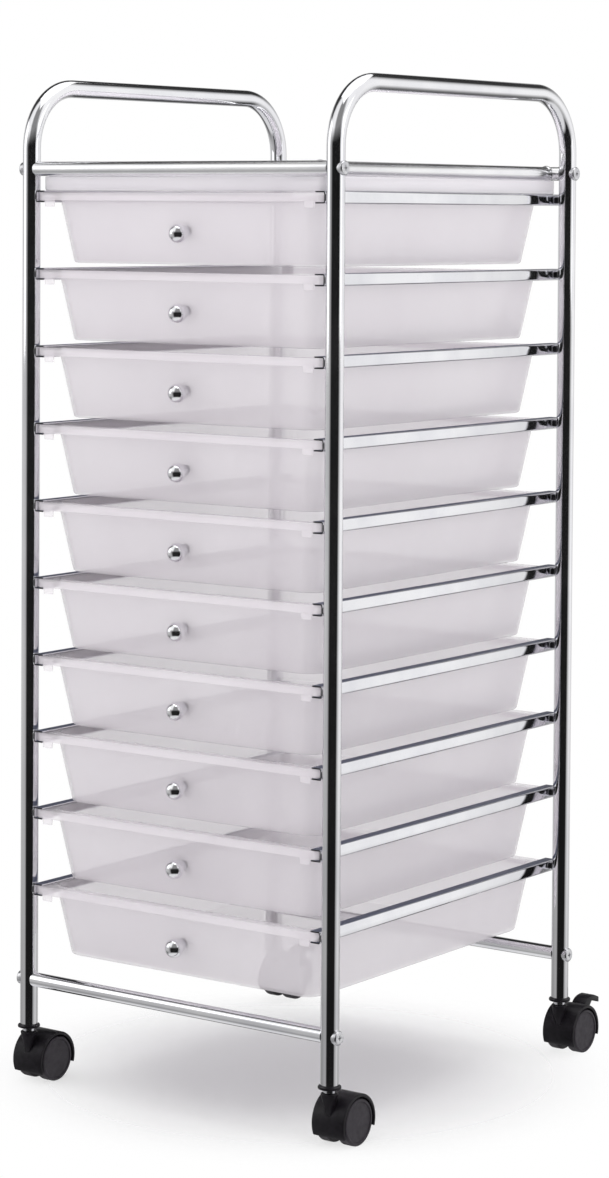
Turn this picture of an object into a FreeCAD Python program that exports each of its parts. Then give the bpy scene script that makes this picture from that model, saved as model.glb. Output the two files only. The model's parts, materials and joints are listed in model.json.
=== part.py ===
import FreeCAD, Part
import math
import os
from FreeCAD import Placement, Rotation, Vector

# Rolling storage cart with ten slide-out drawers, in millimetres, +Z up.
# The floor is z = 0. The origin lies under the middle of the whole outline.

# Spacing of the four posts, from middle to middle
post_spacing_x = 332.0
post_spacing_y = 372.0

# Side frame tube, bent to an upside-down U
tube_diameter = 16.0
tube_wall = 1.2
tube_bend_radius = 55.0

# Straight bars screwed between the posts
bar_diameter = 12.7
bar_wall = 1.0
shelf_side_bar_inset = 20.0

# Heights, each counted from the piece below it
crossbar_above_tube_end = 41.5
lowest_rail_above_crossbar = 82.6
shelf_bar_above_rail = 24.4
handle_top_above_shelf_bar = 81.0

# Threaded plugs in the bar ends, and the domed screws through the posts
plug_length = 14.0
plug_side_gap = 0.05
frame_screw_diameter = 5.0
frame_screw_length = 28.0
frame_screw_head_diameter = 12.4
frame_screw_head_rise = 2.2
frame_screw_head_round = 1.4
frame_screw_saddle_gap = 0.03
screw_hole_gap = 0.2
thread_gap = 0.05

# Cross recess of every screw
recess_width = 1.1
recess_length = 4.2
recess_depth = 1.4

# Drawers and their rows
drawer_count = 10
drawer_pitch = 69.0
drawer_gap = 6.5
drawer_wall = 2.0
drawer_floor = 2.2
drawer_draft_inset = 10.4
drawer_corner_radius = 16.5
drawer_bottom_round = 2.0
drawer_round_steps = 3
corner_follow_share = 0.15

# Drawer rim, a flat flange with a turned-down lip
rim_side_width = 9.0
rim_front_width = 9.5
rim_back_width = 12.0
rim_thickness = 2.0
rim_lip_height = 7.4
rim_lip_thickness = 1.8
rim_front_corner = 6.0
rim_back_corner = 18.0
rim_edge_round = 0.8

# Stop tabs that hang from the front lip, one beside each rail
stop_tab_width = 11.5
stop_tab_drop = 5.2
stop_tab_side_gap = 0.5

# Rails, sheet channels open towards the drawers
rail_height = 10.5
rail_width = 10.0
rail_sheet = 1.2
rail_bend_radius = 1.6
rail_past_front_post = 4.0
rail_past_back_post = 2.0

# Running gaps of a drawer in its rails
rim_side_gap = 0.8
rim_top_gap = 0.4
rim_end_gap = 1.4
rim_ahead_of_rail = 0.5

# Drawer knob and the screw that holds it
knob_ball_diameter = 16.6
knob_center_from_face = 11.0
knob_base_diameter = 9.6
knob_neck_length = 7.0
knob_drop = 33.3
knob_screw_diameter = 4.0
knob_screw_reach = 9.0
knob_screw_head_diameter = 8.0
knob_screw_head_height = 2.4
knob_hole_spare_depth = 1.0

# Shelf tray, lying on the top pair of rails and held down by the bars above it
tray_wall = 2.0
tray_floor = 2.2
tray_corner_radius = 10.0
tray_post_gap = 1.5
tray_bar_gap = 0.25
tray_end_inset = 1.0

# Casters: socket, stem, hood and twin wheels
socket_collar_diameter = 20.0
socket_collar_height = 2.4
socket_sleeve_length = 34.0
socket_sleeve_gap = 0.05
stem_diameter = 8.0
stem_gap = 0.06
stem_in_socket = 30.0
stem_in_hood = 11.0
stem_shoulder_diameter = 10.6
stem_shoulder_height = 3.5
stem_shoulder_gap = 0.1
wheel_diameter = 40.0
wheel_width = 10.9
wheel_edge_round = 1.5
wheel_face_dish = 0.8
wheel_face_rim = 2.5
wheel_trail = 21.0
wheel_side_gap = 0.8
hood_web = 9.0
hood_gap = 1.3
hood_thickness = 3.0
hood_side_cover = 0.3
hood_front_end_angle = 26.0
hood_back_end_angle = 18.0
hood_hub_radius = 9.0
hood_boss_radius = 7.5
hood_boss_tip_radius = 3.0
hood_boss_rise = 3.2
hood_boss_length = 19.0
axle_diameter = 6.0
axle_gap = 0.06
axle_cover = 2.0

# Brake lever on the back casters
brake_pivot_angle = 45.0
brake_pivot_inset = 5.9
brake_cam_radius = 4.5
brake_pin_diameter = 3.0
brake_pin_gap = 0.08
brake_neck_width = 5.8
brake_slot_gap = 0.3
brake_slot_depth = 12.3
brake_slot_half_angle = 37.0
brake_pad_width = 14.0
brake_pad_corner_radius = 4.0
brake_pad_rise = 14.0
brake_pad_crest = 18.0
brake_pad_thickness = 4.4
brake_reach = 29.0
brake_tip_drop = 4.5
brake_tip_thickness = 4.7
brake_foot_rise = 8.5
brake_foot_length = 9.5
brake_foot_drop = 4.0
brake_throat_length = 14.0
brake_neck_overlap = 1.0
rise_share = 0.42
rise_height_share = 0.85

# Overrun of every cut past the face that it opens, the flats of a wedge cut, and the
# turn that keeps the seam of a round bar's surface away from the joints on it
cut_over = 2.0
fan_steps = 6
seam_angle = 45.0

# Sizes worked out from those above
tube_radius = tube_diameter / 2
bar_radius = bar_diameter / 2
half_x = post_spacing_x / 2
half_y = post_spacing_y / 2
wheel_radius = wheel_diameter / 2
hood_radius = wheel_radius + hood_gap + hood_thickness
boss_top = wheel_radius + hood_radius + hood_boss_rise
collar_bottom = boss_top + stem_shoulder_height + stem_shoulder_gap
tube_bottom = collar_bottom + socket_collar_height
crossbar_height = tube_bottom + crossbar_above_tube_end
top_rail_height = crossbar_height + lowest_rail_above_crossbar + drawer_pitch * (drawer_count - 1)
shelf_bar_height = top_rail_height + shelf_bar_above_rail
overall_height = shelf_bar_height + handle_top_above_shelf_bar
top_axis = overall_height - tube_radius
drawer_depth = drawer_pitch - drawer_gap
draft_angle = math.atan2(drawer_draft_inset, drawer_depth)
rail_half = rail_height / 2
rail_web_x = half_x - tube_radius
rail_front_y = -half_y - rail_past_front_post
rail_back_y = half_y + rail_past_back_post
rim_half_x = rail_web_x - rail_sheet - rim_side_gap
rim_front_y = rail_front_y - rim_ahead_of_rail
rim_back_y = rail_back_y - rail_sheet - rim_end_gap
rim_top_offset = rail_half - rail_sheet - rim_top_gap
brake_pivot_radius = hood_radius - brake_pivot_inset
brake_slot_inner_radius = hood_radius - brake_slot_depth
brake_pivot_y = wheel_trail + brake_pivot_radius * math.cos(math.radians(brake_pivot_angle))
brake_pivot_z = wheel_radius + brake_pivot_radius * math.sin(math.radians(brake_pivot_angle))
brake_tip_y = brake_pivot_y + brake_reach

# The middle of the posts lies this far in front of the origin, because the
# brake levers reach further back than the collars reach forward
cart_y = -(brake_tip_y - socket_collar_diameter / 2) / 2

X_AXIS = Vector(1, 0, 0)
Z_AXIS = Vector(0, 0, 1)
ORIGIN = Vector(0, 0, 0)
LEFT = -1
RIGHT = 1
FRONT = -1
BACK = 1


def at(x, y, z):
    """Give the point that lies at x, y, z from the floor under the middle of the posts."""
    return Vector(x, y + cart_y, z)


def save(name, shape):
    """Write one sub-part to its own STEP file."""
    shape.exportStep("parts/" + name + ".step")


def cylinder(radius, start, end):
    """Make a round bar from one point to another."""
    run = end - start
    return Part.makeCylinder(radius, run.Length, start, run)


def block(low, high):
    """Make a box from its lowest corner to its highest."""
    size = high - low
    return Part.makeBox(size.x, size.y, size.z, low)


def prism(points, run):
    """Extrude a closed outline of points along run."""
    outline = Part.makePolygon(points + [points[0]])
    return Part.Face(outline).extrude(run)


def rounded_outline(half_wide, front, back, front_radius, back_radius, z):
    """Make a closed rectangle with round corners, level at z and centred on x = 0."""
    corners = [
        (half_wide, front, front_radius, -90.0),
        (half_wide, back, back_radius, 0.0),
        (-half_wide, back, back_radius, 90.0),
        (-half_wide, front, front_radius, 180.0),
    ]
    arcs = []
    for x, y, radius, start in corners:
        center_x = x - math.copysign(radius, x)
        center_y = y + radius if y == front else y - radius
        points = []
        for turn in (0.0, 45.0, 90.0):
            angle = math.radians(start + turn)
            along = radius * math.cos(angle)
            back_by = radius * math.sin(angle)
            points.append(Vector(center_x + along, center_y + back_by, z))
        arcs.append(points)
    edges = []
    for index, points in enumerate(arcs):
        following = arcs[(index + 1) % len(arcs)]
        edges.append(Part.Arc(*points).toShape())
        edges.append(Part.LineSegment(points[-1], following[0]).toShape())
    return Part.Wire(edges)


def rounded_plate(half_wide, front, back, front_radius, back_radius, z, height):
    """Make a plate with round corners, its underside at z."""
    outline = rounded_outline(half_wide, front, back, front_radius, back_radius, z)
    return Part.Face(outline).extrude(Vector(0, 0, height))


def cross_recess(face_point, inward):
    """Make the cross that is cut into a screw head, its mouth at face_point."""
    cutter = None
    for turn in (0.0, 90.0):
        low = Vector(-recess_length / 2, -recess_width / 2, -cut_over)
        high = Vector(recess_length / 2, recess_width / 2, recess_depth)
        arm = block(low, high)
        arm.rotate(ORIGIN, Z_AXIS, turn)
        cutter = arm if cutter is None else cutter.fuse(arm)
    cutter.Placement = Placement(face_point, Rotation(Z_AXIS, inward))
    return cutter


def pan_screw(seat, inward, length, diameter, head_diameter, head_height):
    """Make a pan head screw whose head rests at seat and whose shank runs along inward."""
    shank = Part.makeCylinder(diameter / 2, length, ORIGIN, Z_AXIS)
    head = Part.makeCylinder(head_diameter / 2, head_height, Vector(0, 0, -head_height), Z_AXIS)
    top_edges = [edge for edge in head.Edges if edge.BoundBox.ZMax < -head_height / 2]
    head = head.makeFillet(head_height / 2, top_edges)
    screw = head.fuse(shank).cut(cross_recess(Vector(0, 0, -head_height), Z_AXIS))
    screw.Placement = Placement(seat, Rotation(Z_AXIS, inward))
    return screw


def post_places():
    """Give the four posts as side, end, x and y, counted from the middle of the posts."""
    places = []
    for side in (LEFT, RIGHT):
        for end in (FRONT, BACK):
            places.append((side, end, side * half_x, end * half_y))
    return places


def post_cutter(x, y, radius):
    """Make a tall round bar in the place of one post, to cope what meets it."""
    return cylinder(radius, at(x, y, 0), at(x, y, overall_height))


def side_frame(side):
    """Make one bent tube: front post, handle and back post, with its screw holes."""
    x = side * half_x
    bend_z = top_axis - tube_bend_radius
    shift = tube_bend_radius * math.sin(math.radians(45.0))
    front_center = at(x, -half_y + tube_bend_radius, bend_z)
    back_center = at(x, half_y - tube_bend_radius, bend_z)
    foot = at(x, -half_y, tube_bottom)
    points = [
        foot,
        at(x, -half_y, bend_z),
        front_center + Vector(0, -shift, shift),
        front_center + Vector(0, 0, tube_bend_radius),
        back_center + Vector(0, 0, tube_bend_radius),
        back_center + Vector(0, shift, shift),
        at(x, half_y, bend_z),
        at(x, half_y, tube_bottom),
    ]
    path = Part.Wire([
        Part.LineSegment(points[0], points[1]).toShape(),
        Part.Arc(points[1], points[2], points[3]).toShape(),
        Part.LineSegment(points[3], points[4]).toShape(),
        Part.Arc(points[4], points[5], points[6]).toShape(),
        Part.LineSegment(points[6], points[7]).toShape(),
    ])
    skins = []
    for radius in (tube_radius, tube_radius - tube_wall):
        ring = Part.Wire(Part.makeCircle(radius, foot, Z_AXIS))
        skins.append(path.makePipeShell([ring], True, False))
    frame = skins[0].cut(skins[1])
    hole_radius = frame_screw_diameter / 2 + screw_hole_gap
    for end in (FRONT, BACK):
        for height in (crossbar_height, shelf_bar_height):
            start = at(x - tube_diameter, end * half_y, height)
            finish = at(x + tube_diameter, end * half_y, height)
            frame = frame.cut(cylinder(hole_radius, start, finish))
    return frame


def cross_tube(end):
    """Make one straight tube between the left and right posts, coped to fit them, at z = 0."""
    y = end * half_y
    start = Vector(-half_x, y, 0)
    finish = Vector(half_x, y, 0)
    tube = cylinder(bar_radius, start, finish).cut(cylinder(bar_radius - bar_wall, start, finish))
    for side in (LEFT, RIGHT):
        post = Vector(side * half_x, y, 0)
        reach = Vector(0, 0, bar_diameter)
        tube = tube.cut(cylinder(tube_radius, post - reach, post + reach))
    return tube


def crossbar(end):
    """Make one of the two bars low down between the posts."""
    return cross_tube(end).translated(at(0, 0, crossbar_height))


def tube_plug(side, end, height):
    """Make the threaded plug in one end of a cross tube."""
    x = side * half_x
    y = end * half_y
    inner_end = at(x - side * (tube_radius + plug_length), y, height)
    plug = cylinder(bar_radius - bar_wall - plug_side_gap, at(x, y, height), inner_end)
    plug = plug.cut(post_cutter(x, y, tube_radius))
    tapped = frame_screw_diameter / 2 + thread_gap
    return plug.cut(cylinder(tapped, at(x, y, height), inner_end - Vector(side * cut_over, 0, 0)))


def frame_screw(side, end, height):
    """Make the screw that goes through a post into a tube plug, its head hollowed to sit on the post."""
    x = side * half_x
    y = end * half_y
    face = at(x + side * (tube_radius + frame_screw_head_rise), y, height)
    tip = at(x + side * (tube_radius - frame_screw_length), y, height)
    head = cylinder(frame_screw_head_diameter / 2, face, at(x, y, height))
    rims = []
    for edge in head.Edges:
        if abs(edge.BoundBox.Center.x - face.x) < frame_screw_head_round / 2:
            rims.append(edge)
    head = head.makeFillet(frame_screw_head_round, rims)
    head = head.cut(post_cutter(x, y, tube_radius + frame_screw_saddle_gap))
    root = face - Vector(side * frame_screw_head_rise / 2, 0, 0)
    shank = cylinder(frame_screw_diameter / 2, root, tip)
    return head.fuse(shank).cut(cross_recess(face, Vector(-side, 0, 0)))


def shelf_frame():
    """Make the welded ring of four tubes around the shelf, each hollow up to its joints."""
    rims = []
    hollows = []
    for end in (FRONT, BACK):
        start = Vector(-half_x, end * half_y, 0)
        finish = Vector(half_x, end * half_y, 0)
        for radius, kept in ((bar_radius, rims), (bar_radius - bar_wall, hollows)):
            tube = cylinder(radius, start, finish)
            tube.rotate(start, X_AXIS, seam_angle)
            kept.append(tube)
    across = list(rims)
    for side in (LEFT, RIGHT):
        x = side * (half_x - shelf_side_bar_inset)
        start = Vector(x, -half_y, 0)
        finish = Vector(x, half_y, 0)
        rims.append(cylinder(bar_radius, start, finish))
        hollows.append(cylinder(bar_radius - bar_wall, start, finish).cut(across))
    ring = rims[0].fuse(rims[1:])
    for side, end, x, y in post_places():
        post = Vector(x, y, 0)
        reach = Vector(0, 0, bar_diameter)
        ring = ring.cut(cylinder(tube_radius, post - reach, post + reach))
    return ring.cut(hollows).translated(at(0, 0, shelf_bar_height))


def rail(side, height):
    """Make one channel rail, open towards the drawers, with its end stop at the back."""
    profile_low = Vector(rail_web_x - rail_width, rail_front_y + cart_y, -rail_half)
    profile_high = Vector(rail_web_x, rail_back_y + cart_y, rail_half)
    channel = block(profile_low, profile_high)
    long_edges = []
    for edge in channel.Edges:
        box = edge.BoundBox
        if box.YLength > box.XLength + box.ZLength and box.XMin > rail_web_x - rail_sheet:
            long_edges.append(edge)
    channel = channel.makeFillet(rail_bend_radius, long_edges)
    hollow_low = profile_low + Vector(-cut_over, -cut_over, rail_sheet)
    hollow_high = profile_high - Vector(rail_sheet, rail_sheet, rail_sheet)
    channel = channel.cut(block(hollow_low, hollow_high))
    if side == LEFT:
        channel = channel.mirror(ORIGIN, X_AXIS)
    channel.translate(Vector(0, 0, height))
    return channel


def wall_sections(shrink, depth, bottom_round):
    """Make the level outlines of a drawer wall, from the rim down to its rounded bottom."""
    sections = []
    straight = depth - bottom_round
    steps = [(0.0, 0.0)]
    for step in range(drawer_round_steps + 1):
        angle = math.radians(90.0 * step / drawer_round_steps)
        steps.append((straight + bottom_round * math.sin(angle), bottom_round * (1 - math.cos(angle))))
    for down, round_inset in steps:
        inset = drawer_draft_inset * down / drawer_depth + round_inset
        radius = drawer_corner_radius - shrink - inset * corner_follow_share
        sections.append(rounded_outline(
            rim_half_x - rim_side_width - inset - shrink,
            rim_front_y + rim_front_width + inset + shrink,
            rim_back_y - rim_back_width - inset - shrink,
            radius, radius, -down))
    return sections


def knob_seat():
    """Give the point on the outer face behind the knob, and the way out of that face."""
    inset = drawer_draft_inset * knob_drop / drawer_depth
    point = Vector(0, rim_front_y + rim_front_width + inset, -knob_drop)
    outward = Vector(0, -math.cos(draft_angle), -math.sin(draft_angle))
    return point, outward


def stop_tab(side):
    """Make the tab under one end of the front lip, beside the rail."""
    outer = rail_web_x - rail_width - stop_tab_side_gap
    low = Vector(outer - stop_tab_width, rim_front_y, -rim_lip_height - stop_tab_drop)
    high = Vector(outer, rim_front_y + rim_lip_thickness, -rim_thickness)
    tab = block(low, high)
    return tab if side == RIGHT else tab.mirror(ORIGIN, X_AXIS)


def drawer():
    """Make one drawer with the top of its rim at z = 0."""
    shell = Part.makeLoft(wall_sections(0.0, drawer_depth, drawer_bottom_round), True, True)
    rim = rounded_plate(rim_half_x, rim_front_y, rim_back_y, rim_front_corner, rim_back_corner,
                        -rim_lip_height, rim_lip_height)
    top_edges = [edge for edge in rim.Edges if edge.BoundBox.ZMin > -rim_edge_round]
    rim = rim.makeFillet(rim_edge_round, top_edges)
    under = rounded_plate(
        rim_half_x - rim_lip_thickness, rim_front_y + rim_lip_thickness, rim_back_y - rim_lip_thickness,
        rim_front_corner - rim_lip_thickness, rim_back_corner - rim_lip_thickness,
        -rim_lip_height - cut_over, rim_lip_height + cut_over - rim_thickness)
    body = rim.cut(under).fuse([shell, stop_tab(LEFT), stop_tab(RIGHT)])
    hollow_depth = drawer_depth - drawer_floor
    hollow = Part.makeLoft(wall_sections(drawer_wall, hollow_depth, drawer_bottom_round), True, True)
    mouth = Part.Face(wall_sections(drawer_wall, hollow_depth, drawer_bottom_round)[0])
    body = body.cut(hollow).cut(mouth.extrude(Vector(0, 0, cut_over)))
    point, outward = knob_seat()
    hole_radius = knob_screw_diameter / 2 + screw_hole_gap
    hole = cylinder(hole_radius, point + outward * cut_over, point - outward * (drawer_wall + cut_over))
    return body.cut(hole)


def knob():
    """Make one ball knob in its place on the drawer."""
    ball_radius = knob_ball_diameter / 2
    neck_end_from_center = knob_center_from_face - knob_neck_length
    neck_end_radius = math.sqrt(ball_radius ** 2 - neck_end_from_center ** 2)
    neck = Part.makeCone(knob_base_diameter / 2, neck_end_radius, knob_neck_length, ORIGIN, Z_AXIS)
    ball = Part.makeSphere(ball_radius, Vector(0, 0, knob_center_from_face))
    bore_depth = knob_screw_reach + knob_hole_spare_depth
    bore = Part.makeCylinder(knob_screw_diameter / 2 + thread_gap, bore_depth, ORIGIN, Z_AXIS)
    shape = neck.fuse(ball).cut(bore)
    point, outward = knob_seat()
    shape.Placement = Placement(point, Rotation(Z_AXIS, outward))
    return shape


def knob_screw():
    """Make the screw that holds a knob, its head inside the drawer."""
    point, outward = knob_seat()
    wall_along = drawer_wall * math.cos(draft_angle)
    seat = point - outward * wall_along
    return pan_screw(seat, outward, wall_along + knob_screw_reach, knob_screw_diameter,
                     knob_screw_head_diameter, knob_screw_head_height)


def shelf_tray():
    """Make the shallow tray that lies on the top rails, under the shelf bars."""
    low = top_rail_height + rail_half
    high = shelf_bar_height - bar_radius - tray_bar_gap
    wide = rail_web_x - tray_post_gap
    deep = half_y - tray_end_inset
    outer = rounded_plate(wide, -deep, deep, tray_corner_radius, tray_corner_radius, low, high - low)
    inner_radius = tray_corner_radius - tray_wall
    inner = rounded_plate(wide - tray_wall, tray_wall - deep, deep - tray_wall, inner_radius, inner_radius,
                          low + tray_floor, high - low)
    tray = outer.cut(inner)
    tray.translate(Vector(0, cart_y, 0))
    return tray


def caster_socket(x, y):
    """Make the plastic socket in one tube end: a sleeve inside and a collar below."""
    collar = cylinder(socket_collar_diameter / 2, at(x, y, collar_bottom), at(x, y, tube_bottom))
    sleeve_radius = tube_radius - tube_wall - socket_sleeve_gap
    sleeve = cylinder(sleeve_radius, at(x, y, tube_bottom), at(x, y, tube_bottom + socket_sleeve_length))
    bore_end = collar_bottom + stem_in_socket + stem_shoulder_gap
    bore = cylinder(stem_diameter / 2 + stem_gap, at(x, y, collar_bottom - cut_over), at(x, y, bore_end))
    return collar.fuse(sleeve).cut(bore)


def caster_point(across, y, z):
    """Give a point of a caster, counted from the floor under its stem."""
    return Vector(across, y, z)


def caster_stem():
    """Make the steel stem with the shoulder that carries the cart."""
    bottom = boss_top - stem_in_hood
    top = collar_bottom + stem_in_socket - stem_shoulder_gap
    shank = cylinder(stem_diameter / 2, caster_point(0, 0, bottom), caster_point(0, 0, top))
    shoulder = cylinder(stem_shoulder_diameter / 2, caster_point(0, 0, boss_top),
                        caster_point(0, 0, boss_top + stem_shoulder_height))
    return shank.fuse(shoulder)


def across_axle(radius, low_x, high_x):
    """Make a round bar on the wheel axis, from low_x to high_x."""
    return cylinder(radius, caster_point(low_x, wheel_trail, wheel_radius),
                    caster_point(high_x, wheel_trail, wheel_radius))


def turned_point(across, radius, angle):
    """Give the point at a radius and an angle around the wheel axis, counted up from the back."""
    return Vector(across, wheel_trail + radius * math.cos(angle), wheel_radius + radius * math.sin(angle))


def wheel_fan(inner_radius, first_angle, last_angle, half_wide):
    """Make a wedge around the wheel axis, between two angles, that reaches past the hood."""
    far = hood_radius * 2
    points = []
    for step in range(fan_steps + 1):
        angle = math.radians(first_angle + (last_angle - first_angle) * step / fan_steps)
        points.append(turned_point(-half_wide, far, angle))
    if inner_radius == 0:
        points.append(turned_point(-half_wide, 0, 0))
    else:
        points.append(turned_point(-half_wide, inner_radius, math.radians(last_angle)))
        points.append(turned_point(-half_wide, inner_radius, math.radians(first_angle)))
    return prism(points, Vector(half_wide * 2, 0, 0))


def caster_hood(braked):
    """Make one caster body: a drum-shaped hood, the web between the wheels and the stem boss."""
    web_half = hood_web / 2
    half_wide = web_half + wheel_side_gap + wheel_width + hood_side_cover
    drum = across_axle(hood_radius, -half_wide, half_wide)
    open_start = 180.0 + hood_front_end_angle
    open_end = 360.0 - hood_back_end_angle
    drum = drum.cut(wheel_fan(0, open_start, open_end, half_wide + cut_over))
    hub = across_axle(hood_hub_radius, -web_half, web_half)
    boss = Part.makeCone(hood_boss_tip_radius, hood_boss_radius, hood_boss_length,
                         caster_point(0, 0, boss_top - hood_boss_length), Z_AXIS)
    body = drum.fuse([hub, boss])
    for side in (LEFT, RIGHT):
        cavity = across_axle(wheel_radius + hood_gap, side * web_half, side * (half_wide + cut_over))
        body = body.cut(cavity)
    body = body.cut(across_axle(axle_diameter / 2 + axle_gap, -half_wide, half_wide))
    stem_end = caster_point(0, 0, boss_top - stem_in_hood)
    body = body.cut(cylinder(stem_diameter / 2, stem_end, caster_point(0, 0, boss_top + cut_over)))
    if braked:
        slot_half = brake_neck_width / 2 + brake_slot_gap
        body = body.cut(wheel_fan(brake_slot_inner_radius, brake_pivot_angle - brake_slot_half_angle,
                                  brake_pivot_angle + brake_slot_half_angle, slot_half))
        pin_radius = brake_pin_diameter / 2 + brake_pin_gap
        body = body.cut(cylinder(pin_radius, caster_point(-half_wide, brake_pivot_y, brake_pivot_z),
                                 caster_point(half_wide, brake_pivot_y, brake_pivot_z)))
    return body


def caster_axle():
    """Make the axle that both wheels are pressed on."""
    reach = hood_web / 2 + wheel_side_gap + wheel_width - axle_cover
    return across_axle(axle_diameter / 2, -reach, reach)


def caster_wheel(side):
    """Make one wheel: a dished outer face, rounded tread edges and a blind axle hole."""
    inner = hood_web / 2 + wheel_side_gap
    outer = inner + wheel_width
    wheel = across_axle(wheel_radius, inner, outer)
    rims = [edge for edge in wheel.Edges if edge.BoundBox.XLength < wheel_edge_round]
    wheel = wheel.makeFillet(wheel_edge_round, rims)
    dish = across_axle(wheel_radius - wheel_face_rim, outer - wheel_face_dish, outer + cut_over)
    bore = across_axle(axle_diameter / 2, inner - cut_over, outer - axle_cover)
    wheel = wheel.cut(dish).cut(bore)
    if side == LEFT:
        wheel = wheel.mirror(ORIGIN, X_AXIS)
    return wheel


def brake_lever():
    """Make one brake lever: cam and pin between the wheels, neck through the hood, hooked pad."""
    neck_half = brake_neck_width / 2
    pad_half = brake_pad_width / 2
    pivot = Vector(0, brake_pivot_y, brake_pivot_z)

    def beside(across, back, up):
        return pivot + Vector(across, back, up)

    cam = cylinder(brake_cam_radius, beside(-neck_half, 0, 0), beside(neck_half, 0, 0))
    pin = cylinder(brake_pin_diameter / 2, beside(-hood_web / 2, 0, 0), beside(hood_web / 2, 0, 0))
    neck = prism([
        beside(-neck_half, -brake_cam_radius, 0),
        beside(-neck_half, 0, brake_foot_rise + brake_neck_overlap),
        beside(-neck_half, brake_foot_length, brake_foot_rise + brake_neck_overlap),
        beside(-neck_half, brake_cam_radius, 0),
    ], Vector(brake_neck_width, 0, 0))
    foot = beside(-pad_half, 0, brake_foot_rise)
    crest = beside(-pad_half, brake_pad_crest, brake_pad_rise)
    rise_middle = beside(-pad_half, brake_pad_crest * rise_share, brake_foot_rise
                         + (brake_pad_rise - brake_foot_rise) * rise_height_share)
    tip_top = beside(-pad_half, brake_reach, brake_pad_rise - brake_tip_drop)
    tip_low = tip_top - Vector(0, 0, brake_tip_thickness)
    throat = beside(-pad_half, brake_throat_length, brake_pad_rise - brake_pad_thickness)
    heel = beside(-pad_half, brake_foot_length, brake_foot_rise - brake_foot_drop)
    outline = Part.Wire([
        Part.Arc(foot, rise_middle, crest).toShape(),
        Part.LineSegment(crest, tip_top).toShape(),
        Part.LineSegment(tip_top, tip_low).toShape(),
        Part.LineSegment(tip_low, throat).toShape(),
        Part.LineSegment(throat, heel).toShape(),
        Part.LineSegment(heel, foot).toShape(),
    ])
    hook = Part.Face(outline).extrude(Vector(brake_pad_width, 0, 0))
    plan = rounded_plate(pad_half, brake_pivot_y, brake_tip_y, brake_pad_corner_radius / 2,
                         brake_pad_corner_radius, brake_pivot_z, brake_pad_rise + cut_over)
    return hook.common(plan).fuse([neck, cam, pin])


def main():
    """Build every sub-part and write it out."""
    os.makedirs("parts", exist_ok=True)
    sides = {"left": LEFT, "right": RIGHT}
    ends = {"front": FRONT, "back": BACK}
    rail_heights = [top_rail_height - drawer_pitch * row for row in range(drawer_count)]

    for side_name, side in sides.items():
        save(side_name + "_side_frame", side_frame(side))
        save(side_name + "_rails", Part.makeCompound([rail(side, height) for height in rail_heights]))
    for end_name, end in ends.items():
        save(end_name + "_crossbar", crossbar(end))
    save("shelf_frame", shelf_frame())
    save("shelf_tray", shelf_tray())

    plugs = []
    screws = []
    sockets = []
    for side, end, x, y in post_places():
        for height in (crossbar_height, shelf_bar_height):
            plugs.append(tube_plug(side, end, height))
            screws.append(frame_screw(side, end, height))
        sockets.append(caster_socket(x, y))
    save("tube_plugs", Part.makeCompound(plugs))
    save("frame_screws", Part.makeCompound(screws))
    save("caster_sockets", Part.makeCompound(sockets))

    drawer_parts = {"drawer": drawer(), "knob": knob(), "knob_screw": knob_screw()}
    for row, height in enumerate(rail_heights):
        for part_name, shape in drawer_parts.items():
            copy = shape.copy()
            copy.translate(Vector(0, cart_y, height + rim_top_offset))
            save("{}_{:02d}".format(part_name, row + 1), copy)

    wheels = Part.makeCompound([caster_wheel(LEFT), caster_wheel(RIGHT)])
    for side_name, side in sides.items():
        for end_name, end in ends.items():
            braked = end == BACK
            caster_parts = {
                "stem": caster_stem(),
                "hood": caster_hood(braked),
                "axle": caster_axle(),
                "wheels": wheels,
            }
            if braked:
                caster_parts["brake_lever"] = brake_lever()
            for part_name, shape in caster_parts.items():
                copy = shape.copy()
                copy.translate(at(side * half_x, end * half_y, 0))
                save("{}_{}_caster_{}".format(end_name, side_name, part_name), copy)


main()
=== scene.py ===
import json
import logging
import math
from collections.abc import Callable, Sequence
from dataclasses import dataclass
from enum import Enum

import bmesh
import bpy
from mathutils import Matrix, Vector

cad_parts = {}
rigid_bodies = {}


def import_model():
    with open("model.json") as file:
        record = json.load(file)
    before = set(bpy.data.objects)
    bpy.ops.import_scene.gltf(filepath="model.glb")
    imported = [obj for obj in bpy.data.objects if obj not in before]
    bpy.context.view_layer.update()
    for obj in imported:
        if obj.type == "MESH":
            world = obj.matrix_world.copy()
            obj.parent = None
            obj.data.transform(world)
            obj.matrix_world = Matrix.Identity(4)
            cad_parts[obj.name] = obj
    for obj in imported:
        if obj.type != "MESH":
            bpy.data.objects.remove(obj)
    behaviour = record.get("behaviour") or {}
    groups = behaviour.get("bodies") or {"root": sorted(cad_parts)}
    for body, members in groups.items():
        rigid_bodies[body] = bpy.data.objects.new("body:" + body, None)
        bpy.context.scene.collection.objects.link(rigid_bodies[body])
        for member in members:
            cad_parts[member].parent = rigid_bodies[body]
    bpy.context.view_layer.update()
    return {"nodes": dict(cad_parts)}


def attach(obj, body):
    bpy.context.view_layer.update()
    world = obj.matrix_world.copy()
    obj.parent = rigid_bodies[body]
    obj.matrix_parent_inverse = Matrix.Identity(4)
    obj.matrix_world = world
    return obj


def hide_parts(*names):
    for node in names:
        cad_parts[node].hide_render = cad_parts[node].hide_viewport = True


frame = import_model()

log = logging.getLogger("storage_cart")

# Short names for the types in the hints.
Piece = bpy.types.Object
Node = bpy.types.Node
Tree = bpy.types.NodeTree
Outline = list[tuple[float, float]]

# The middle of the four posts lies this far in front of the origin. All lengths are in metres.
CART_Y = -0.026506
POST_X = 0.166
POST_Y = 0.186
# Points closer than this are the same point.
TOUCH = 1e-6


class Side(Enum):
    """The two sides of the cart, with the sign of x there."""

    LEFT = -1
    RIGHT = 1


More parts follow.
